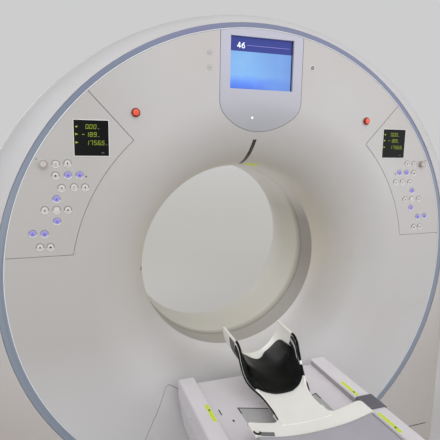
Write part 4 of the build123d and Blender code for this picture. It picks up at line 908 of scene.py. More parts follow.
@dataclass
class Panels(Dresser):
    """Readouts, key signs and lit keys of both control panels, with their knobs and stops."""

    readout_at: Pair = (584.0, 488.0)
    readout_size: Pair = (106.0, 111.0)
    readout_proud: float = 1.0
    readout_rim: Pair = (2.4, 0.2)
    rows: tuple[tuple[str, int, float], ...] = (("0.00", 0, 0.18), ("-189", -1, 0.4), ("1756.5", 0, 0.63))
    first_digit: float = 35.4
    digit_height: float = 13.6
    digit_width: float = 8.4
    digit_pitch: float = 12.0
    digit_slant: float = 0.1
    stroke: float = 1.3
    point_mark: Box = (-2.6, 0.0, -0.9, 1.7)
    unit_mark: Box = (1.0, 0.0, 6.0, 1.6)
    foot_mark: Box = (0.78, -0.92, 0.86, -0.905)
    flag_at: Pair = (4.0, 4.0)
    flag_down: Profile = ((0.0, 4.0), (9.0, 4.0), (4.5, -2.0))
    flag_ahead: Profile = ((0.0, 0.0), (9.0, 3.0), (0.0, 7.0))
    key_r: float = 10.0
    key_proud: float = 2.5
    key_dome: Profile = ((-1.2, 0.05), (-1.8, -0.4), (-3.5, -0.8), (-6.5, -0.95), (-9.98, -1.0))
    # Arcs round each key, as first angle, last angle and bead radius: painted shade above, painted highlight
    # below.
    key_shade_arc: tuple[float, float, float] = (-15.0, 195.0, 0.8)
    key_highlight: tuple[float, float, float] = (200.0, 340.0, 1.7)
    key_ring_out: float = 1.5
    sign_scale: float = 0.85
    sign_drop: float = 0.6
    sign_span: Pair = (-1.3, -0.6)
    round_mark: tuple[float, float, float, int] = (604.0, 367.0, 2.6, 16)
    wedge_mark: tuple[float, float, float, int, float] = (750.0, 422.0, 3.0, 3, 90.0)
    knob_at: Pair = (730.0, 407.0)
    knob_r: float = 12.0
    knob_length: float = 14.0
    knob_dome: Profile = ((-1.6, -0.2), (-2.2, -1.0), (-4.5, -1.7), (-8.0, -2.0))
    knob_seat: Profile = ((3.0, 0.0), (2.8, -0.8), (0.8, -1.1), (0.6, 0.0))
    pointer: Box = (-0.8, 1.5, 0.8, 8.8)
    pointer_span: Pair = (-2.1, -0.6)
    stop_at: Pair = (444.0, 572.0)
    stop_r: float = 11.0
    stop_proud: float = 12.0
    stop_dome: Profile = ((-0.8, 0.2), (-1.0, -0.3), (-3.0, -0.8), (-6.0, -1.1))
    stop_guard: Profile = ((4.2, 0.0), (4.0, -0.5), (1.0, -0.7), (0.6, 0.0))
    collar_proud: float = 4.0
    moving: tuple[Key, ...] = (
        Key(696.0, 297.0, Glyph.UP, True, "up"), Key(697.0, 226.0, Glyph.DOWN, True, "down"),
        Key(732.0, 263.0, Glyph.BAR, False, "outer"), Key(663.0, 262.0, Glyph.BAR, False, "inner"))
    fixed: tuple[Key, ...] = (
        Key(694.0, 407.0, Glyph.LOOP), Key(659.0, 409.0, Glyph.UP),
        Key(696.0, 371.0, Glyph.HOME), Key(659.0, 372.0, Glyph.BAR, True),
        Key(624.0, 372.0, Glyph.HOME, True), Key(679.0, 332.0, Glyph.LEFT),
        Key(642.0, 334.0, Glyph.LOOP), Key(608.0, 333.0, Glyph.DOWN), Key(697.0, 263.0, Glyph.NONE),
        Key(771.0, 189.0, Glyph.BAR, True), Key(736.0, 187.0, Glyph.HOME, True),
        Key(751.0, 145.0, Glyph.BAR), Key(720.0, 144.0, Glyph.HOME))

    segments = {"0": "abcdef", "1": "bc", "5": "afgcd", "6": "afgedc", "7": "abc", "8": "abcdefg",
                "9": "abcdfg", "-": "g"}

    def stroke_box(self, segment: str) -> Box:
        """Corners of one stroke of a digit, from its lower left corner.

        Args:
            segment: the stroke's letter, a at the top and on clockwise, with g in the middle.

        Returns:
            Its left, low, right and high edge.
        """
        width, height, thick = self.digit_width, self.digit_height, self.stroke
        middle = height / 2
        gap = 0.25 * thick
        boxes = {
            "a": (gap, height - thick, width - gap, height),
            "b": (width - thick, middle + gap, width, height - gap),
            "c": (width - thick, gap, width, middle - gap),
            "d": (gap, 0.0, width - gap, thick),
            "e": (0.0, gap, thick, middle - gap),
            "f": (0.0, middle + gap, thick, height - gap),
            "g": (gap, middle - thick / 2, width - gap, middle + thick / 2),
        }
        return boxes[segment]

    def digits(self, sculpt: Sculpt, text: str, left: float, low: float, near: float) -> float:
        """Add a line of digits, each of up to seven slanted strokes.

        Args:
            sculpt: where the strokes go.
            text: digits, points and a minus.
            left: where the line starts.
            low: its base line.
            near: the depth of the face that it is printed on.

        Returns:
            Where the line ends.
        """
        x = left
        for sign in text:
            if sign == ".":
                sculpt.stamp(rectangle(*self.point_mark) + (x, low), near)
                continue
            for segment in self.segments[sign]:
                ring = rectangle(*self.stroke_box(segment))
                ring[:, 0] += x + self.digit_slant * ring[:, 1]
                ring[:, 1] += low
                sculpt.stamp(ring, near)
            x += self.digit_pitch
        return x

    def readout(self, side: int, name: str) -> None:
        """Numbers, small signs and a pale rim on one readout.

        Args:
            side: 1 on the right, -1 on the left.
            name: the side's name.
        """
        size = np.array(self.readout_size)
        middle = np.array(self.readout_at) * (side, 1)
        left, top = middle[0] - size[0] / 2, middle[1] + size[1] / 2
        near = -self.readout_proud
        lit, unit, rim = Sculpt(), Sculpt(), Sculpt()
        for number, (text, cell, drop) in enumerate(self.rows):
            low = top - drop * size[1] - self.digit_height / 2
            end = self.digits(lit, text, left + self.first_digit + cell * self.digit_pitch, low, near)
            unit.stamp(rectangle(*self.unit_mark) + (end, low), near)
            flag = np.array(self.flag_ahead if number else self.flag_down)
            lit.stamp(flag + (left + self.flag_at[0], low + self.flag_at[1]), near)
        unit.stamp(rectangle(*self.foot_mark) * size + (left, top), near)
        outer, inner = (rectangle(-1, -1, 1, 1) * (size / 2 + border) + middle for border in self.readout_rim)
        for strip in between(outer, inner):
            rim.slab(strip, near - PROUD, 0.0)
        self.add(f"digits_{name}", lit, "digit_lime", "readout_glass")
        self.add(f"unit_marks_{name}", unit, "mark_grey", "readout_glass")
        self.add(f"readout_rim_{name}", rim, "mark_white", "collar_white")

    def key_face(self, side: int, key: Key, builds: dict[KeyPart, Sculpt]) -> None:
        """Add one key's ring arcs, painted shade above (a violet halo of painted light on lit keys) and a
        painted highlight below, its domed cap and its sign.

        Args:
            side: 1 on the right, -1 on the left.
            key: the key.
            builds: where each part goes.
        """
        x, z, top = side * key.x, key.z, -self.key_proud
        upper = KeyPart.HALO if key.lit else KeyPart.RING
        reach = self.key_r + self.key_ring_out
        # Painted shade above, a violet halo of painted light on lit keys, and a painted highlight below.
        for part, (first, last, thick) in ((upper, self.key_shade_arc), (KeyPart.EDGE, self.key_highlight)):
            arc = np.radians(np.linspace(first, last, 25))
            builds[part].rod(on_face(x + reach * np.cos(arc), -PROUD, z + reach * np.sin(arc)), thick, 8)
        cap = builds[KeyPart.LIT if key.lit else KeyPart.CAP]
        cap.turned((x, z), self.key_dome, self.key_r, top, 32, capped=True)
        signs = builds[KeyPart.SIGN_LIT if key.lit else KeyPart.SIGN]
        for outline in glyph_outlines(key.sign):
            shape = outline * self.sign_scale + (x, z - self.sign_drop)
            signs.slab(shape, *(top + step for step in self.sign_span))

    def keys(self, side: int, name: str) -> None:
        """Dress one panel's keys: the fixed ones together, the moving ones each on its own body.

        Args:
            side: 1 on the right, -1 on the left.
            name: the side's name.
        """
        builds = {part: Sculpt() for part in KeyPart}
        for key in self.fixed:
            self.key_face(side, key, builds)
        for key in self.moving:
            own = builds | {part: Sculpt() for part in MOVING_PARTS}
            self.key_face(side, key, own)
            for part in MOVING_PARTS:
                if own[part].count:
                    self.add(f"key_{key.name}_{name}_{part.value}", own[part], KEY_FINISHES[part], "key_grey",
                             body=f"key_{key.name}_{name}_cap")
        for part, sculpt in builds.items():
            if sculpt.count:
                self.add(f"keys_{part.value}_{name}", sculpt, KEY_FINISHES[part], "key_grey")

    def marks(self, side: int, name: str) -> None:
        """Print the round mark and the wedge beside the keys.

        Args:
            side: 1 on the right, -1 on the left.
            name: the side's name.
        """
        small = Sculpt()
        for x, *rest in (self.round_mark, self.wedge_mark):
            small.slab(circle(side * x, *rest), -PROUD, 0.0)
        self.add(f"panel_marks_{name}", small, "mark_dark", "key_grey")

    def knob(self, side: int, name: str) -> None:
        """Domed face on the turning knob, paler than its sides as painted light, its pointer, and the seat
        that it stands on.

        Args:
            side: 1 on the right, -1 on the left.
            name: the side's name.
        """
        at = (side * self.knob_at[0], self.knob_at[1])
        front = -self.knob_length
        face, pointer, seat = Sculpt(), Sculpt(), Sculpt()
        face.turned(at, self.knob_dome, self.knob_r, front, capped=True)
        pointer.slab(rectangle(*self.pointer) + at, *(front + step for step in self.pointer_span))
        seat.turned(at, self.knob_seat, self.knob_r)
        self.add(f"knob_face_{name}", face, "knob_pale", "knob_grey", body=f"dial_{name}")
        self.add(f"knob_pointer_{name}", pointer, "key_rim", "knob_grey", body=f"dial_{name}")
        self.add(f"knob_seat_{name}", seat, "key_grey", "key_grey")

    def stop(self, side: int, name: str) -> None:
        """Bright domed face on the emergency stop's button, lit further by a faint painted glow, and the dark
        ring round it.

        Args:
            side: 1 on the right, -1 on the left.
            name: the side's name.
        """
        at = (side * self.stop_at[0], self.stop_at[1])
        face, guard = Sculpt(), Sculpt()
        face.turned(at, self.stop_dome, self.stop_r, -self.stop_proud, capped=True)
        guard.turned(at, self.stop_guard, self.stop_r, -self.collar_proud)
        self.add(f"stop_face_{name}", face, "stop_orange", "stop_red", body=f"stop_{name}")
        self.add(f"stop_guard_{name}", guard, "stop_red", "collar_white")

    def build(self) -> None:
        """Build both panels."""
        for side, name in ((1, "right"), (-1, "left")):
            for work in (self.readout, self.keys, self.marks, self.knob, self.stop):
                work(side, name)


@dataclass
class Display(Dresser):
    """Picture on the display and the lamps round it."""

    half: float = 119.5
    span: Pair = (666.4, 839.6)
    recess: float = 10.0
    band_low: float = 792.0
    edge_shadow: float = 4.0
    number_size: Box = (19.0, 12.6, 2.5, 16.4)
    number_at: Pair = (26.0, 10.0)
    line_gap: float = 4.0
    line_margin: float = 12.0
    line_rise: float = 20.0
    line_wall: float = 1.4
    lamp_at: Pair = (-30.0, 570.0)
    lamp_r: float = 4.2
    lamp_span: Pair = (-1.2, 1.0)
    ring_at: Pair = (198.0, 753.0)
    ring_profile: Profile = ((10.2, 0.0), (10.0, -1.0), (8.9, -1.6), (7.9, -1.0), (7.7, 0.0))
    sign_x: float = -195.0
    sign_heights: Pair = (776.0, 729.0)
    sign_radii: Pair = (8.5, 7.6)
    sign_bar: Box = (-4.5, -2.0, 4.5, 0.6)

    def build(self) -> None:
        """Build the picture, its top band with a number and a line, a painted shadow along its right edge,
        and the small lamps.
        """
        near = self.recess - PROUD
        low, high = self.span
        for name, finish, bottom, top in (("screen_picture", "screen_picture", low, self.band_low),
                                          ("screen_band", "band_indigo", self.band_low, high)):
            field = Sculpt()
            field.slab(rectangle(-self.half, bottom, self.half, top), near, self.recess)
            self.add(name, field, finish, "screen_glass")
        number, line, edge = Sculpt(), Sculpt(), Sculpt()
        inset, rise = self.number_at
        end = self.number(number, "46", inset - self.half, self.band_low + rise, near)
        level = self.band_low + self.line_rise
        start, stop = end + self.line_gap, self.half - self.line_margin
        line.stamp(rectangle(start, level, stop, level + self.line_wall), near)
        # Painted shadow of the recess: a dark strip along the picture's right edge.
        edge.stamp(rectangle(self.half - self.edge_shadow, low, self.half, high), near)
        self.add("screen_number", number, "lamp_white", "screen_glass")
        self.add("screen_line", line, "mark_lilac", "screen_glass")
        self.add("screen_edge", edge, "screen_glass", "screen_glass")
        self.lamps()

    def number(self, sculpt: Sculpt, text: str, left: float, low: float, near: float) -> float:
        """Add a number in rounded upright strokes, laid out by shares of a digit's height and width.

        Args:
            sculpt: where the strokes go.
            text: the digits 4 and 6.
            left: where the number starts.
            low: its base line.
            near: the depth of its face.

        Returns:
            Where the number ends.
        """
        tall, wide, thick, pitch = self.number_size
        middle, post, cross = wide / 2, 0.68 * wide, 0.24 * tall
        bowl, hole = (circle(middle, middle, radius, 40) for radius in (middle, middle - thick))
        stem = np.array([(0.0, middle), (0.1 * wide, 0.72 * tall), (0.62 * wide, tall), (0.95 * wide, tall),
                         (thick + 0.28 * wide, 0.66 * tall), (thick, middle)])
        slope = np.array([(0.0, cross), (thick, cross), (post + thick, tall), (0.6 * wide, tall)])
        strokes = {
            "4": [rectangle(0.0, cross, 1.04 * wide, cross + thick),
                  rectangle(post, 0.0, post + thick, tall), slope],
            "6": [stem, *between(bowl, hole)],
        }
        for place, sign in enumerate(text):
            for stroke in strokes[sign]:
                sculpt.stamp(stroke + (left + place * pitch, low), near)
        return left + len(text) * pitch

    def lamps(self) -> None:
        """Small lamp on the bezel, ring lamp beside it and two faint round signs."""
        lamp, ring, well, signs = Sculpt(), Sculpt(), Sculpt(), Sculpt()
        depth = float(skin_depth(math.hypot(*self.lamp_at)))
        lamp.slab(circle(*self.lamp_at, self.lamp_r, 24), *(depth + step for step in self.lamp_span))
        ring.turned(self.ring_at, self.ring_profile)
        well.slab(circle(*self.ring_at, self.ring_profile[-1][0], 32), -PROUD, 0.0)
        outer, inner = self.sign_radii
        flat_ring = ((outer, 0.0), (outer, -PROUD), (inner, -PROUD), (inner, 0.0))
        for z in self.sign_heights:
            signs.turned((self.sign_x, z), flat_ring, count=32)
            signs.slab(rectangle(*self.sign_bar) + (self.sign_x, z), -PROUD, 0.0)
        self.add("bezel_lamp", lamp, "lamp_white", "collar_white", bevel=0.8)
        self.add("ring_lamp", ring, "trim_white", "collar_white")
        self.add("ring_lamp_face", well, "mark_faint", "collar_white")
        self.add("bezel_signs", signs, "mark_faint", "disc_grey")


@dataclass
class Throat(Dresser):
    """Strip inside the funnel, a white bead of painted highlight and a coloured edge round the disc, and dark
    strips of painted shade in the seams.
    """

    lime_angles: Pair = (87.6, 79.1)
    lime_depths: Pair = (176.0, 199.0)
    rim_offset: float = 2.0
    rim_highlight_r: float = 1.8
    rim_widening: float = 10.0
    rim_turn: Pair = (0.45, -0.15)
    rim_count: int = 240
    rim_lap: float = 1.0
    rim_highlight_depth: float = 0.2
    band_r: float = 889.0
    seam_span: Pair = (-801.0, -797.4)
    seam_inset: float = 6.0
    seam_reach: float = 893.0
    seam_depth: float = 3.0
    panel_angle: float = 47.1
    panel_reach: Pair = (662.0, 864.0)
    gap: float = 2.0
    gap_shade_depths: Pair = (0.3, 2.0)

    def build(self) -> None:
        """Build every piece."""
        self.rim()
        self.seam()
        self.gap_shade()
        self.strip()

    def strip(self) -> None:
        """Lime strip that follows the funnel's wall.

        The wall's radius at a depth is that of the quarter ellipse, and the strip's upper face stands
        PROUD inside it.
        """
        angle = np.radians(np.linspace(*self.lime_angles, 14))
        depth = np.linspace(*self.lime_depths, 3)[:, None]
        share = (THROAT_DEPTH - depth) / THROAT_DEPTH
        wall = BLEND_R - (BLEND_R - BORE_R) * np.sqrt(1.0 - share**2)
        top, under = (on_face(r * np.cos(angle), depth, r * np.sin(angle)) for r in (wall - PROUD, wall))
        tape = Sculpt()
        tape.grid(np.concatenate([top, under[::-1], top[:1]]))
        self.add("throat_strip", tape, "tape_lime", "laser_glass")

    def rim(self) -> None:
        """Bright bead round the disc, a painted highlight on its rim, and the coloured edge that widens
        inwards on the lower half.

        The edge's inner radius is the disc's own above, and shrinks by rim_widening below as the sine of
        the angle falls through the span of rim_turn.
        """
        turn = np.radians(np.linspace(0.0, 360.0, self.rim_count, endpoint=False))
        start, stop = self.rim_turn
        inner = DISC_R - self.rim_widening * np.clip((start - np.sin(turn)) / (start - stop), 0.0, 1.0)
        outer = np.full(self.rim_count, DISC_R + self.rim_lap)
        reach = inner + self.rim_offset
        middle = on_face(reach * np.cos(turn), self.rim_highlight_depth, reach * np.sin(turn))
        bead, edge = Sculpt(), Sculpt()
        bead.rod(middle, self.rim_highlight_r, 8, closed=True)
        radius = np.stack([inner, inner, outer, outer, inner])
        depth = np.array([0.0, -PROUD, -PROUD, 0.0, 0.0])[:, None]
        edge.grid(on_face(radius * np.cos(turn), depth, radius * np.sin(turn)), wrap=True)
        self.add("disc_bead", bead, "trim_white", "disc_grey", smooth=80)
        self.add("ring_edge", edge, "band_blue", "band_blue", smooth=40)

    def seam(self) -> None:
        """Dark strip of painted shade in the gap between the housing and its plinth, beside the coloured
        ring.
        """
        low, high = self.seam_span
        inner = math.sqrt(self.band_r**2 - (0.5 * (low + high)) ** 2) + self.seam_inset
        strip = Sculpt()
        for side in (1, -1):
            x0, x1 = sorted((side * inner, side * self.seam_reach))
            strip.slab(rectangle(x0, low, x1, high), -PROUD, self.seam_depth)
        self.add("plinth_seam", strip, "gap_dark", "plinth_grey")

    def gap_shade(self) -> None:
        """Dark strips of painted shade in the slanted gaps above both control panels."""
        angle = math.radians(self.panel_angle)
        along = np.array([math.cos(angle), math.sin(angle)])
        down = self.gap * np.array([math.sin(angle), -math.cos(angle)])
        start, stop = (reach * along for reach in self.panel_reach)
        ring = np.array([start, stop, stop + down, start + down])
        strip = Sculpt()
        for side in (1, -1):
            strip.slab(ring * (side, 1), *self.gap_shade_depths)
        self.add("panel_gap_shade", strip, "gap_dark", "disc_grey")


@dataclass
class Couch(Dresser):
    """Strips, slots, cover plate and trims of the couch body."""

    body: str = "top_stage"
    rail_top: float = -372.0
    bed_top: float = -397.0
    seat_top: float = -398.5
    well_half: float = 152.0
    well_depths: Pair = (-213.0, -417.0)
    gap: float = 1.0
    cover_lift: float = 0.05
    cover_drop: float = 0.3
    notch: float = 52.0
    trim_width: float = 3.6
    trim_proud: float = 0.5
    trim_arms: Pair = (98.0, 62.0)
    trim_leg: float = 36.0
    rib_shares: tuple[float, ...] = (0.34, 0.62, 0.9)
    rib_inset: float = 12.0
    rib_width: float = 2.0
    rail_in: float = 245.0
    rail_shade_z: Pair = (-396.8, -379.2)
    rail_depths: Pair = (-22.0, -2360.0)
    tape_half: float = 6.0
    tick_half: float = 3.0
    tick_length: float = 8.0
    # Each tape: middle, near and far depth, share of its length where its tick starts.
    tapes: tuple[Box, ...] = ((-258.0, -205.0, -300.0, 0.3), (258.0, -215.0, -310.0, 0.72),
                              (258.0, -420.0, -525.0, 0.72))
    # Each slot: left, right, near depth, far depth.
    slots: tuple[Box, ...] = ((-217.0, -213.0, -206.0, -239.0), (-192.0, -186.0, -274.0, -284.0))

    def sheet(self, sculpt: Sculpt, outline: list[Pair], low: float, high: float) -> None:
        """Add a flat sheet that lies level, from its outline in plan and its two heights."""
        ring = np.array(outline, float)
        sculpt.grid(on_face(ring[:, 0], ring[:, 1], [[low], [high]]), wrap=True, capped=True)

    def plate(self, sculpt: Sculpt, x0: float, x1: float, y0: float, y1: float, low: float,
              high: float) -> None:
        """Add a rectangular sheet, its depths counted from the front face."""
        self.sheet(sculpt, [(x0, y0), (x1, y0), (x1, y1), (x0, y1)], low, high)

    def build(self) -> None:
        """Build every small piece on the couch body."""
        self.tape()
        self.rails()
        self.well()

    def tape(self) -> None:
        """Lime strips with a tick on the rails, and black sheets of painted shade for the slots in the bed.
        """
        tape, ticks, slots = Sculpt(), Sculpt(), Sculpt()
        top, bed = self.rail_top, self.bed_top
        for x, near, far, share in self.tapes:
            self.plate(tape, x - self.tape_half, x + self.tape_half, near, far, top, top + PROUD)
            start = near + share * (far - near)
            self.plate(ticks, x - self.tick_half, x + self.tick_half, start, start - self.tick_length,
                       top + PROUD, top + 2 * PROUD)
        for slot in self.slots:
            self.plate(slots, *slot, bed, bed + PROUD)
        self.add("rail_tape", tape, "tape_lime", "couch_lilac")
        self.add("rail_tape_marks", ticks, "mark_dark", "couch_lilac")
        self.add("bed_slot_shade", slots, "trim_black", "couch_lilac")

    def rails(self) -> None:
        """Facing of painted shade on the rails' inner sides."""
        shade = Sculpt()
        for x0, x1 in ((self.rail_in - PROUD, self.rail_in), (-self.rail_in, PROUD - self.rail_in)):
            self.plate(shade, x0, x1, *self.rail_depths, *self.rail_shade_z)
        self.add("rail_inner_shade", shade, "rail_shade", "couch_lilac")

    def well(self) -> None:
        """Cover plate in the bed's recess, with black corner marks at its front end and faint ribs."""
        near, far = self.well_depths
        half, wide = self.well_half - self.gap, self.trim_width
        start = near - self.gap
        top = self.bed_top - self.cover_drop
        cover, trim, ribs = Sculpt(), Sculpt(), Sculpt()
        outline = [(-half, start), (0.0, start - self.notch), (half, start), (half, far), (-half, far)]
        self.sheet(cover, outline, self.seat_top + self.cover_lift, top)
        for side, arm in ((1, self.trim_arms[1]), (-1, self.trim_arms[0])):
            outer, inner, end = side * half, side * (half - wide), side * (half - arm)
            drop = self.notch * arm / half
            leg = [(outer, start), (end, start - drop), (end, start - drop - wide), (outer, start - wide)]
            self.sheet(trim, leg, top, top + self.trim_proud)
            self.plate(trim, inner, outer, start - wide, start - self.trim_leg, top, top + self.trim_proud)
        for share in self.rib_shares:
            depth = near + share * (far - near)
            self.plate(ribs, self.rib_inset - half, half - self.rib_inset, depth, depth - self.rib_width,
                       top, top + INK)
        self.add("well_cover", cover, "well_grey", "couch_lilac", bevel=0.3)
        self.add("well_trim", trim, "trim_black", "couch_lilac")
        self.add("well_ribs", ribs, "cap_lilac", "couch_lilac")


@dataclass
class SlidingTop(Dresser):
    """Mattress, and the head holder's lining, edging, straps and clips."""

    body: str = "sliding_top"
    half: float = 192.0
    top_half: float = 197.0
    edge: float = -331.0
    middle: float = -362.0
    mat_gap: float = 0.4
    mat_edge: float = 8.0
    mat_middle: float = 16.0
    mat_span: Pair = (-467.2, -2394.4)
    mat_roll: float = 12.0
    mat_margin: float = 20.0
    mat_power: float = 2.6
    mat_side_power: int = 18
    mat_end: float = 0.12
    mat_puff: float = 0.7
    mat_waves: tuple[float, float, float] = (61.0, 5.0, 173.0)
    piping_r: float = 2.0
    piping_inset: float = 1.5
    piping_lift: float = 6.0
    piping_turn: float = 14.0
    piping_end: float = 4.0
    plate_wall: float = 7.0
    # The holder's outer surface: depth, then half width, edge height and bottom height there.
    stations: tuple[Box, ...] = (
        (-412.0, 88.0, -347.5, -361.5), (-370.0, 83.0, -347.0, -361.0), (-330.0, 80.0, -346.0, -360.0),
        (-292.0, 81.0, -343.0, -358.5), (-262.0, 86.0, -338.0, -357.0), (-235.0, 96.0, -331.0, -355.5),
        (-205.0, 107.0, -321.0, -353.0), (-178.0, 113.0, -303.0, -350.0), (-152.0, 116.5, -268.0, -347.0),
        (-130.0, 117.5, -233.0, -345.5), (-102.0, 118.0, -219.0, -344.0), (-45.0, 118.0, -216.0, -342.5),
        (30.0, 118.0, -213.0, -342.0))
    wall: float = 8.0
    lining_gap: float = 1.6
    lining_wall: float = 7.6
    lining_reach: float = 88.5
    lining_roll: float = 8.0
    lining_power: float = 2.2
    wing_length: float = 120.0
    swell: float = 1.1
    fold_depth: float = 1.7
    fold_place: Pair = (0.52, 0.16)
    fold_width: float = 0.05
    crumple: float = 0.5
    crumple_waves: tuple[float, float, float] = (7.0, 9.0, 5.0)
    # Where the lining ends: shares of the way from its middle to a wing, and the depth at each.
    near_edge: tuple = ((0.0, 0.25, 0.45, 0.62, 0.72, 0.86, 1.0),
                        (-256.0, -254.0, -244.0, -233.0, -224.0, -213.0, -208.0))
    far_edge: tuple = ((0.0, 0.1, 0.28, 0.44, 0.58, 0.66, 0.74, 0.8, 1.0),
                       (-36.0, -30.0, -7.0, -6.0, -9.0, -14.0, -34.0, -116.0, -172.0))
    # Each pad: name, angles round the section, depths, finish, thickness, height off the outer surface.
    pads: tuple = (
        ("strap_pad_left", (186.0, 234.0), (-158.0, -98.0), "trim_black", 3.2, 0.5),
        ("strap_pad_right", (316.0, 344.0), (-164.0, -112.0), "trim_black", 3.2, 0.5),
        ("tip_pad_left", (182.0, 222.0), (-92.0, -42.0), "pad_grey", 2.4, 0.5),
        ("strap_inside_right", (341.0, 358.0), (-160.0, -94.0), "trim_black", 2.6, -12.4),
        ("strap_line_right", (348.0, 353.0), (-158.0, -96.0), "cap_lilac", 0.8, -13.4))
    # Each roll: name, side, depths.
    rim_rolls: tuple = (("left", -1, (-232.0, -96.0)), ("right", 1, (-210.0, -176.0)),
                        ("strap", 1, (-166.0, -92.0)))
    roll_r: float = 4.6
    roll_inset: float = 5.4
    roll_lift: float = 0.6
    roll_sag: float = 1.2
    # Each bead: name, angle round the section, depth of its end inside the bore, radius.
    beads: tuple = (("edging_upper", 184.0, -104.0, 2.2), ("edging_lower", 195.0, -96.0, 3.6))
    bead_end: float = -384.0
    bead_out: float = 1.4
    corner_x: Pair = (-176.0, -132.0)
    corner_depths: Pair = (-464.0, -446.0)
    corner_lean: float = 0.35
    corner_wall: float = 3.4
    corner_gap: float = 0.2
    hook_at: Pair = (-186.0, -452.0)
    hook_reach: Pair = (9.0, 8.0)
    hook_turn: Pair = (-200.0, 20.0)
    hook_r: float = 2.6
    neck_depths: Pair = (-276.0, -236.0)
    neck_r: float = 3.4
    neck_bulge: float = 3.0
    neck_offset: Pair = (0.6, -3.0)

    def cradle(self, x: np.ndarray) -> np.ndarray:
        """Height of the sliding top's upper surface: a circle through its edges and its middle.

        Args:
            x: places to the right of the bore axis.

        Returns:
            Heights against the bore axis.
        """
        rise = self.edge - self.middle
        bend_r = (self.top_half**2 + rise**2) / (2 * rise)
        return self.middle + bend_r - np.sqrt(bend_r**2 - np.asarray(x, float) ** 2)

    def over_cradle(self, x: np.ndarray, depth: np.ndarray, lift: np.ndarray) -> np.ndarray:
        """Points that stand above the sliding top's upper surface."""
        return on_face(x, depth, self.cradle(x) + lift)

    def mattress(self) -> None:
        """Thin firm mat: a crowned section with rolled edges, swept along the top.

        The section's lower side lies on the cradle and its upper side stands above it by a thickness
        that falls to nothing at the edges as a superellipse; the ends roll down the same way. Two slow
        sine waves add a faint puff.
        """
        near, far = self.mat_span
        across = np.linspace(-1.0, 1.0, 61)
        end = np.geomspace(0.05, self.mat_roll, 9)
        body = np.linspace(near - self.mat_margin, far + self.mat_margin, 90)
        along = np.concatenate([near - end + 0.05, body, far + end[::-1] - 0.05])[:, None]
        reach = np.minimum(np.abs(along - near), np.abs(along - far))
        roll = np.maximum(rim_fall(reach, self.mat_roll, self.mat_power), self.mat_end)
        crown = self.mat_edge + (self.mat_middle - self.mat_edge) * (1 - across**2)
        side = (1.0 - np.abs(across) ** self.mat_side_power) ** (1 / self.mat_power)
        wave, cross, skew = self.mat_waves
        puff = self.mat_puff * np.sin(along / wave) * np.sin(across * cross + along / skew)
        thick = crown * side * roll + puff * (side * roll) ** 2
        x = self.half * across
        mat = Sculpt()
        mat.pad(self.over_cradle(x, along, self.mat_gap + thick), self.over_cradle(x, along, self.mat_gap))
        piece = self.add("mattress_cover", mat, "mat_grey", "mat_grey", smooth=60)
        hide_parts("mattress")

    def piping(self) -> None:
        """Bead sewn round the mattress: along one side, across the far end, back and across the near end."""
        near, far = self.mat_span
        edge = self.half - self.piping_inset
        run = np.linspace(near - self.piping_turn, far + self.piping_turn, 60)
        ends = edge * np.linspace(-1, 1, 31)
        path = np.concatenate([
            self.over_cradle(edge, run, self.piping_lift),
            self.over_cradle(ends[::-1], far + self.piping_end, self.piping_lift),
            self.over_cradle(-edge, run[::-1], self.piping_lift),
            self.over_cradle(ends, near - self.piping_end, self.piping_lift)])
        bead = Sculpt()
        bead.rod(path, self.piping_r, 8, closed=True)
        self.add("mattress_piping", bead, "mat_grey", "mat_grey", smooth=80)

    def section(self, depth: np.ndarray) -> tuple[np.ndarray, np.ndarray, np.ndarray]:
        """Half width, edge height and bottom height of the holder at a depth."""
        table = np.array(self.stations)
        return tuple(smooth_through(table[:, 0], table[:, column], depth) for column in (1, 2, 3))

    def shell_point(self, depth: np.ndarray, angle: np.ndarray, inset: float) -> np.ndarray:
        """Point on the holder, moved in from its outer surface.

        The surface is half an ellipse hung from the level of the edge, its axes shortened by the inset.

        Args:
            depth: depths behind the front face.
            angle: 180 degrees at the left edge, 270 at the bottom, 360 at the right edge.
            inset: distance inwards in millimetres.

        Returns:
            Points in millimetres in the part's frame.
        """
        half, edge, bottom = self.section(depth)
        turn = np.radians(angle)
        return on_face((half - inset) * np.cos(turn), depth, edge + (edge - bottom - inset) * np.sin(turn))

    def lining(self) -> None:
        """Padded lining: an inner and an outer surface over the same patch, joined by a rolled rim.

        Across runs from one wing to the other and along from the neck to the notch. The lining is
        thickest in its middle, falls to nothing at its rim as a superellipse, and dips along two soft
        folds where the flat sheet was bent up into the wings.
        """
        across = np.linspace(-1.0, 1.0, 73)
        along = np.linspace(0.0, 1.0, 65)[:, None]
        near = smooth_through(*self.near_edge, np.abs(across))
        far = smooth_through(*self.far_edge, np.abs(across))
        depth = near + (far - near) * along
        angle = 270.0 + self.lining_reach * across
        rim = np.minimum(np.minimum(along, 1 - along) * (far - near),
                         np.minimum(1 + across, 1 - across) * self.wing_length)
        roll = rim_fall(rim, self.lining_roll, self.lining_power)
        swell = self.swell * np.sin(along * np.pi) * (1 - across**2)
        offset = np.abs(across) - self.fold_place[0] - self.fold_place[1] * along
        fold = self.fold_depth * np.exp(-((offset / self.fold_width) ** 2))
        cross, run, slow = self.crumple_waves
        crumple = self.crumple * np.sin(cross * across + run * along) * np.sin(slow * along)
        thick = (self.lining_wall + swell - fold + crumple) * roll
        inset = self.wall + self.lining_gap
        lining = Sculpt()
        lining.pad(self.shell_point(depth, angle, inset + thick), self.shell_point(depth, angle, inset))
        piece = self.add("head_lining", lining, "cushion_black", "cushion_black", smooth=70)
        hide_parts("head_cushion")

    def straps(self) -> None:
        """Thin pads and strap ends that follow the trough, their thickness falling off at the rim."""
        for name, angles, depths, finish, thick, lift in self.pads:
            angle = np.linspace(*angles, 25)
            depth = np.linspace(*depths, 25)[:, None]
            height = thin_pad(25, 25, thick, 2.0, 0.15)
            pad = Sculpt()
            pad.pad(self.shell_point(depth, angle, -lift - height), self.shell_point(depth, angle, -lift))
            self.add(name, pad, finish, "cushion_black", smooth=60)

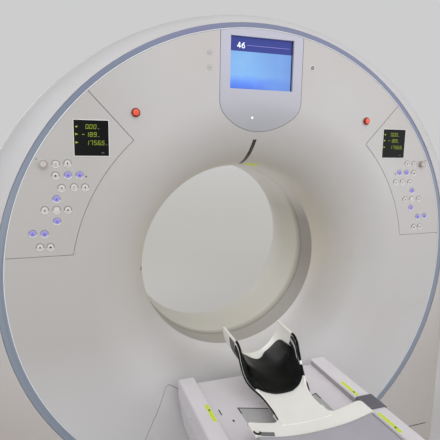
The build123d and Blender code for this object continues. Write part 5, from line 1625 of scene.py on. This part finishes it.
    def rim_roll(self) -> None:
        """Rolled edge of the lining that laps over the shell's rim, longest on the left."""
        sag = np.sin(np.linspace(0.06, np.pi - 0.06, 60)) ** 0.25 - 1.0
        for name, side, span in self.rim_rolls:
            depth = np.linspace(*span, 60)
            half, edge, _ = self.section(depth)
            middle = edge + self.roll_lift + self.roll_sag * sag
            roll = Sculpt()
            roll.rod(on_face(side * (half - self.roll_inset), depth, middle), self.roll_r, 14)
            self.add(f"lining_edge_{name}", roll, "cushion_black", "cushion_black", smooth=80)

    def edging(self) -> None:
        """Two black beads along the trough's left edge, down the neck to the corner of the plate."""
        for name, angle, start, radius in self.beads:
            depth = np.linspace(start, self.bead_end, 80)
            bead = Sculpt()
            bead.rod(self.shell_point(depth, angle, -self.bead_out), radius, 10)
            self.add(f"holder_{name}", bead, "trim_black", "cushion_black", smooth=80)

    def clips(self) -> None:
        """Grey pad and black clip on the plate's left corner, and a black clip on the neck's right side."""
        pad, clip, neck = Sculpt(), Sculpt(), Sculpt()
        depth = np.linspace(*self.corner_depths, 7)[:, None]
        x = np.linspace(*self.corner_x, 9) + self.corner_lean * (depth - np.mean(self.corner_depths))
        base = self.plate_wall + self.corner_gap
        height = thin_pad(7, 9, self.corner_wall, 1.5, 0.1)
        pad.pad(self.over_cradle(x, depth, base + height), self.over_cradle(x, depth, base))
        turn = np.radians(np.linspace(*self.hook_turn, 24))
        hook_x = self.hook_at[0] + self.hook_reach[0] * np.cos(turn)
        hook_depth = self.hook_at[1] + self.hook_reach[1] * np.sin(turn)
        clip.rod(self.over_cradle(hook_x, hook_depth, self.plate_wall + self.hook_r), self.hook_r, 10)
        depth = np.linspace(*self.neck_depths, 20)
        half, edge, _ = self.section(depth)
        bulge = self.neck_bulge * np.sin(np.linspace(0.0, np.pi, 20))
        out, rise = self.neck_offset
        neck.rod(on_face(half + out + bulge, depth, edge + rise), self.neck_r, 12)
        self.add("corner_pad", pad, "pad_grey", "cushion_black", smooth=60)
        self.add("corner_clip", clip, "trim_black", "cushion_black", smooth=80)
        self.add("neck_clip", neck, "trim_black", "cushion_black", smooth=80)

    def build(self) -> None:
        """Build the mat, the lining and the trims."""
        for work in (self.mattress, self.piping, self.lining, self.straps, self.rim_roll,
                     self.edging, self.clips):
            work()


@dataclass(frozen=True)
class Lamp:
    """A square area lamp: its name, place, the place it points at, its size and its power."""

    name: str
    place: tuple[float, float, float]
    target: tuple[float, float, float]
    size: float
    power: float


def stand(name: str, data: bpy.types.ID, axes: tuple[np.ndarray, ...], place: tuple) -> bpy.types.Object:
    """Stand a camera or a lamp in the room.

    Args:
        name: the object's name.
        data: the camera or lamp.
        axes: its right, its up and its back, as unit vectors.
        place: where it stands, in metres.

    Returns:
        The new object.
    """
    matrix = np.eye(4)
    matrix[:3] = np.column_stack([*axes, place])
    thing = bpy.data.objects.new(name, data)
    thing.matrix_world = Matrix(matrix.tolist())
    bpy.context.scene.collection.objects.link(thing)
    return thing


@dataclass
class Studio:
    """Camera, light, floor and background."""

    focal_px: float = 457.264
    image_px: float = 440.0
    place: tuple[float, float, float] = (-0.68790, -1.83045, 1.42149)
    yaw: float = 19.5435
    pitch: float = 9.6260
    roll: float = 0.98726
    sky_light: float = 0.53
    backdrop: Colour = (205, 205, 206)
    floor_colour: Colour = (206, 205, 204)
    near_floor_shade: Colour = (184, 182, 174)
    floor_half: float = 60.0
    fade: Pair = (2.2, 5.0)
    far_fade: Pair = (3.0, 40.0)
    fade_power: float = 0.6
    lamps: tuple[Lamp, ...] = (
        Lamp("ceiling_light", (-0.4, -3.1, 3.4), (0.0, -0.6, 0.8), 3.6, 56.0),
        Lamp("side_light", (2.6, -3.4, 1.8), (0.0, -0.5, 0.7), 2.4, 28.0),
        Lamp("low_light", (-1.6, -4.0, 0.9), (0.0, -0.3, 0.4), 2.0, 16.0),
        Lamp("back_light", (-1.6, 4.0, 2.3), (0.0, 0.3, 0.9), 3.0, 66.0))

    def camera(self) -> None:
        """Stand the camera where the photograph was taken."""
        data = bpy.data.cameras.new("camera")
        data.sensor_width = 36.0
        data.lens = self.focal_px * data.sensor_width / self.image_px
        data.clip_start = 0.05
        yaw, pitch, roll = (math.radians(angle) for angle in (self.yaw, self.pitch, self.roll))
        ahead = np.array([math.sin(yaw) * math.cos(pitch), math.cos(yaw) * math.cos(pitch), -math.sin(pitch)])
        right = np.array([math.cos(yaw), -math.sin(yaw), 0.0])
        up = np.cross(right, ahead)
        turned_right = math.cos(roll) * right + math.sin(roll) * up
        turned_up = -math.sin(roll) * right + math.cos(roll) * up
        bpy.context.scene.camera = stand("camera", data, (turned_right, turned_up, -ahead), self.place)

    def hang(self, lamp: Lamp) -> None:
        """Hang a lamp that points at its target.

        Args:
            lamp: the lamp.
        """
        data = bpy.data.lights.new(lamp.name, "AREA")
        data.size = lamp.size
        data.energy = lamp.power
        back = np.array(lamp.place) - np.array(lamp.target)
        back /= np.linalg.norm(back)
        side = np.cross(np.array([0.0, 1.0, 0.01]), back)
        side /= np.linalg.norm(side)
        stand(lamp.name, data, (side, np.cross(back, side), back), lamp.place)

    def seen_directly(self, graph: Graph) -> Socket:
        """Mask of what the camera sees straight, in gloss or through glass.

        Args:
            graph: where its nodes go.

        Returns:
            The mask.
        """
        path = graph.add("ShaderNodeLightPath")
        direct = graph.math("MAXIMUM", path.outputs["Is Camera Ray"], path.outputs["Is Transmission Ray"])
        return graph.math("MAXIMUM", direct, path.outputs["Is Glossy Ray"])

    def world(self) -> None:
        """Even grey light, with a pale background where the camera sees past the part."""
        world = bpy.data.worlds.new("room")
        world.use_nodes = True
        bpy.context.scene.world = world
        graph = Graph(world.node_tree)
        light = world.node_tree.nodes["Background"]
        light.inputs["Color"].default_value = (1.0, 1.0, 1.0, 1.0)
        light.inputs["Strength"].default_value = self.sky_light
        seen = graph.add("ShaderNodeBackground", {"Color": linear(self.backdrop), "Strength": 1.0})
        parts = {0: self.seen_directly(graph), 1: light.outputs[0], 2: seen.outputs[0]}
        mix = graph.add("ShaderNodeMixShader", parts)
        graph.feed(world.node_tree.nodes["World Output"].inputs["Surface"], mix.outputs[0])

    def floor(self) -> None:
        """Pale floor that keeps the part's shadow; further out, what the camera sees of it is a flat painted
        shade that fades into the background.
        """
        mesh = bpy.data.meshes.new("floor")
        corners = rectangle(-1, -1, 1, 1) * self.floor_half
        mesh.from_pydata([(x, y, 0.0) for x, y in corners], [], [(0, 1, 2, 3)])
        floor = bpy.data.objects.new("floor", mesh)
        material, graph, shader = new_material("floor")
        set_plain(shader, {"Base Color": linear(self.floor_colour), "Roughness": 0.7,
                           "Specular IOR Level": 0.1})
        middle = graph.add("ShaderNodeMapping", {"Vector": graph.place(), "Location": (0.0, 1.0, 0.0)})
        length = graph.add("ShaderNodeVectorMath", {0: middle.outputs[0]}, operation="LENGTH")
        far_off = length.outputs["Value"]
        seen = graph.math("MULTIPLY", graph.spread(far_off, *self.fade), self.seen_directly(graph))
        away = graph.math("POWER", graph.spread(far_off, *self.far_fade), self.fade_power)
        # Painted shade: the flat floor colour is darker near the part and fades into the backdrop.
        shade = graph.blend(away, linear(self.near_floor_shade), linear(self.backdrop))
        flat = graph.add("ShaderNodeEmission", {"Color": shade, "Strength": 1.0})
        mix = graph.add("ShaderNodeMixShader", {0: seen, 1: shader.outputs[0], 2: flat.outputs[0]})
        graph.feed(material.node_tree.nodes["Material Output"].inputs["Surface"], mix.outputs[0])
        mesh.materials.append(material)
        bpy.context.scene.collection.objects.link(floor)

    def build(self) -> None:
        """Set the room up."""
        bpy.context.scene.view_settings.view_transform = "Standard"
        self.camera()
        self.world()
        self.floor()
        for lamp in self.lamps:
            self.hang(lamp)


def main() -> None:
    """Build the room, dress the frame and add every new piece."""
    logging.basicConfig(level=logging.INFO, format="%(message)s")
    Studio().build()
    shop = Workshop()
    for assembly in (CadFinishes, Panels, Display, Throat, Couch, SlidingTop):
        assembly(shop).build()


if __name__ == "__main__":
    main()
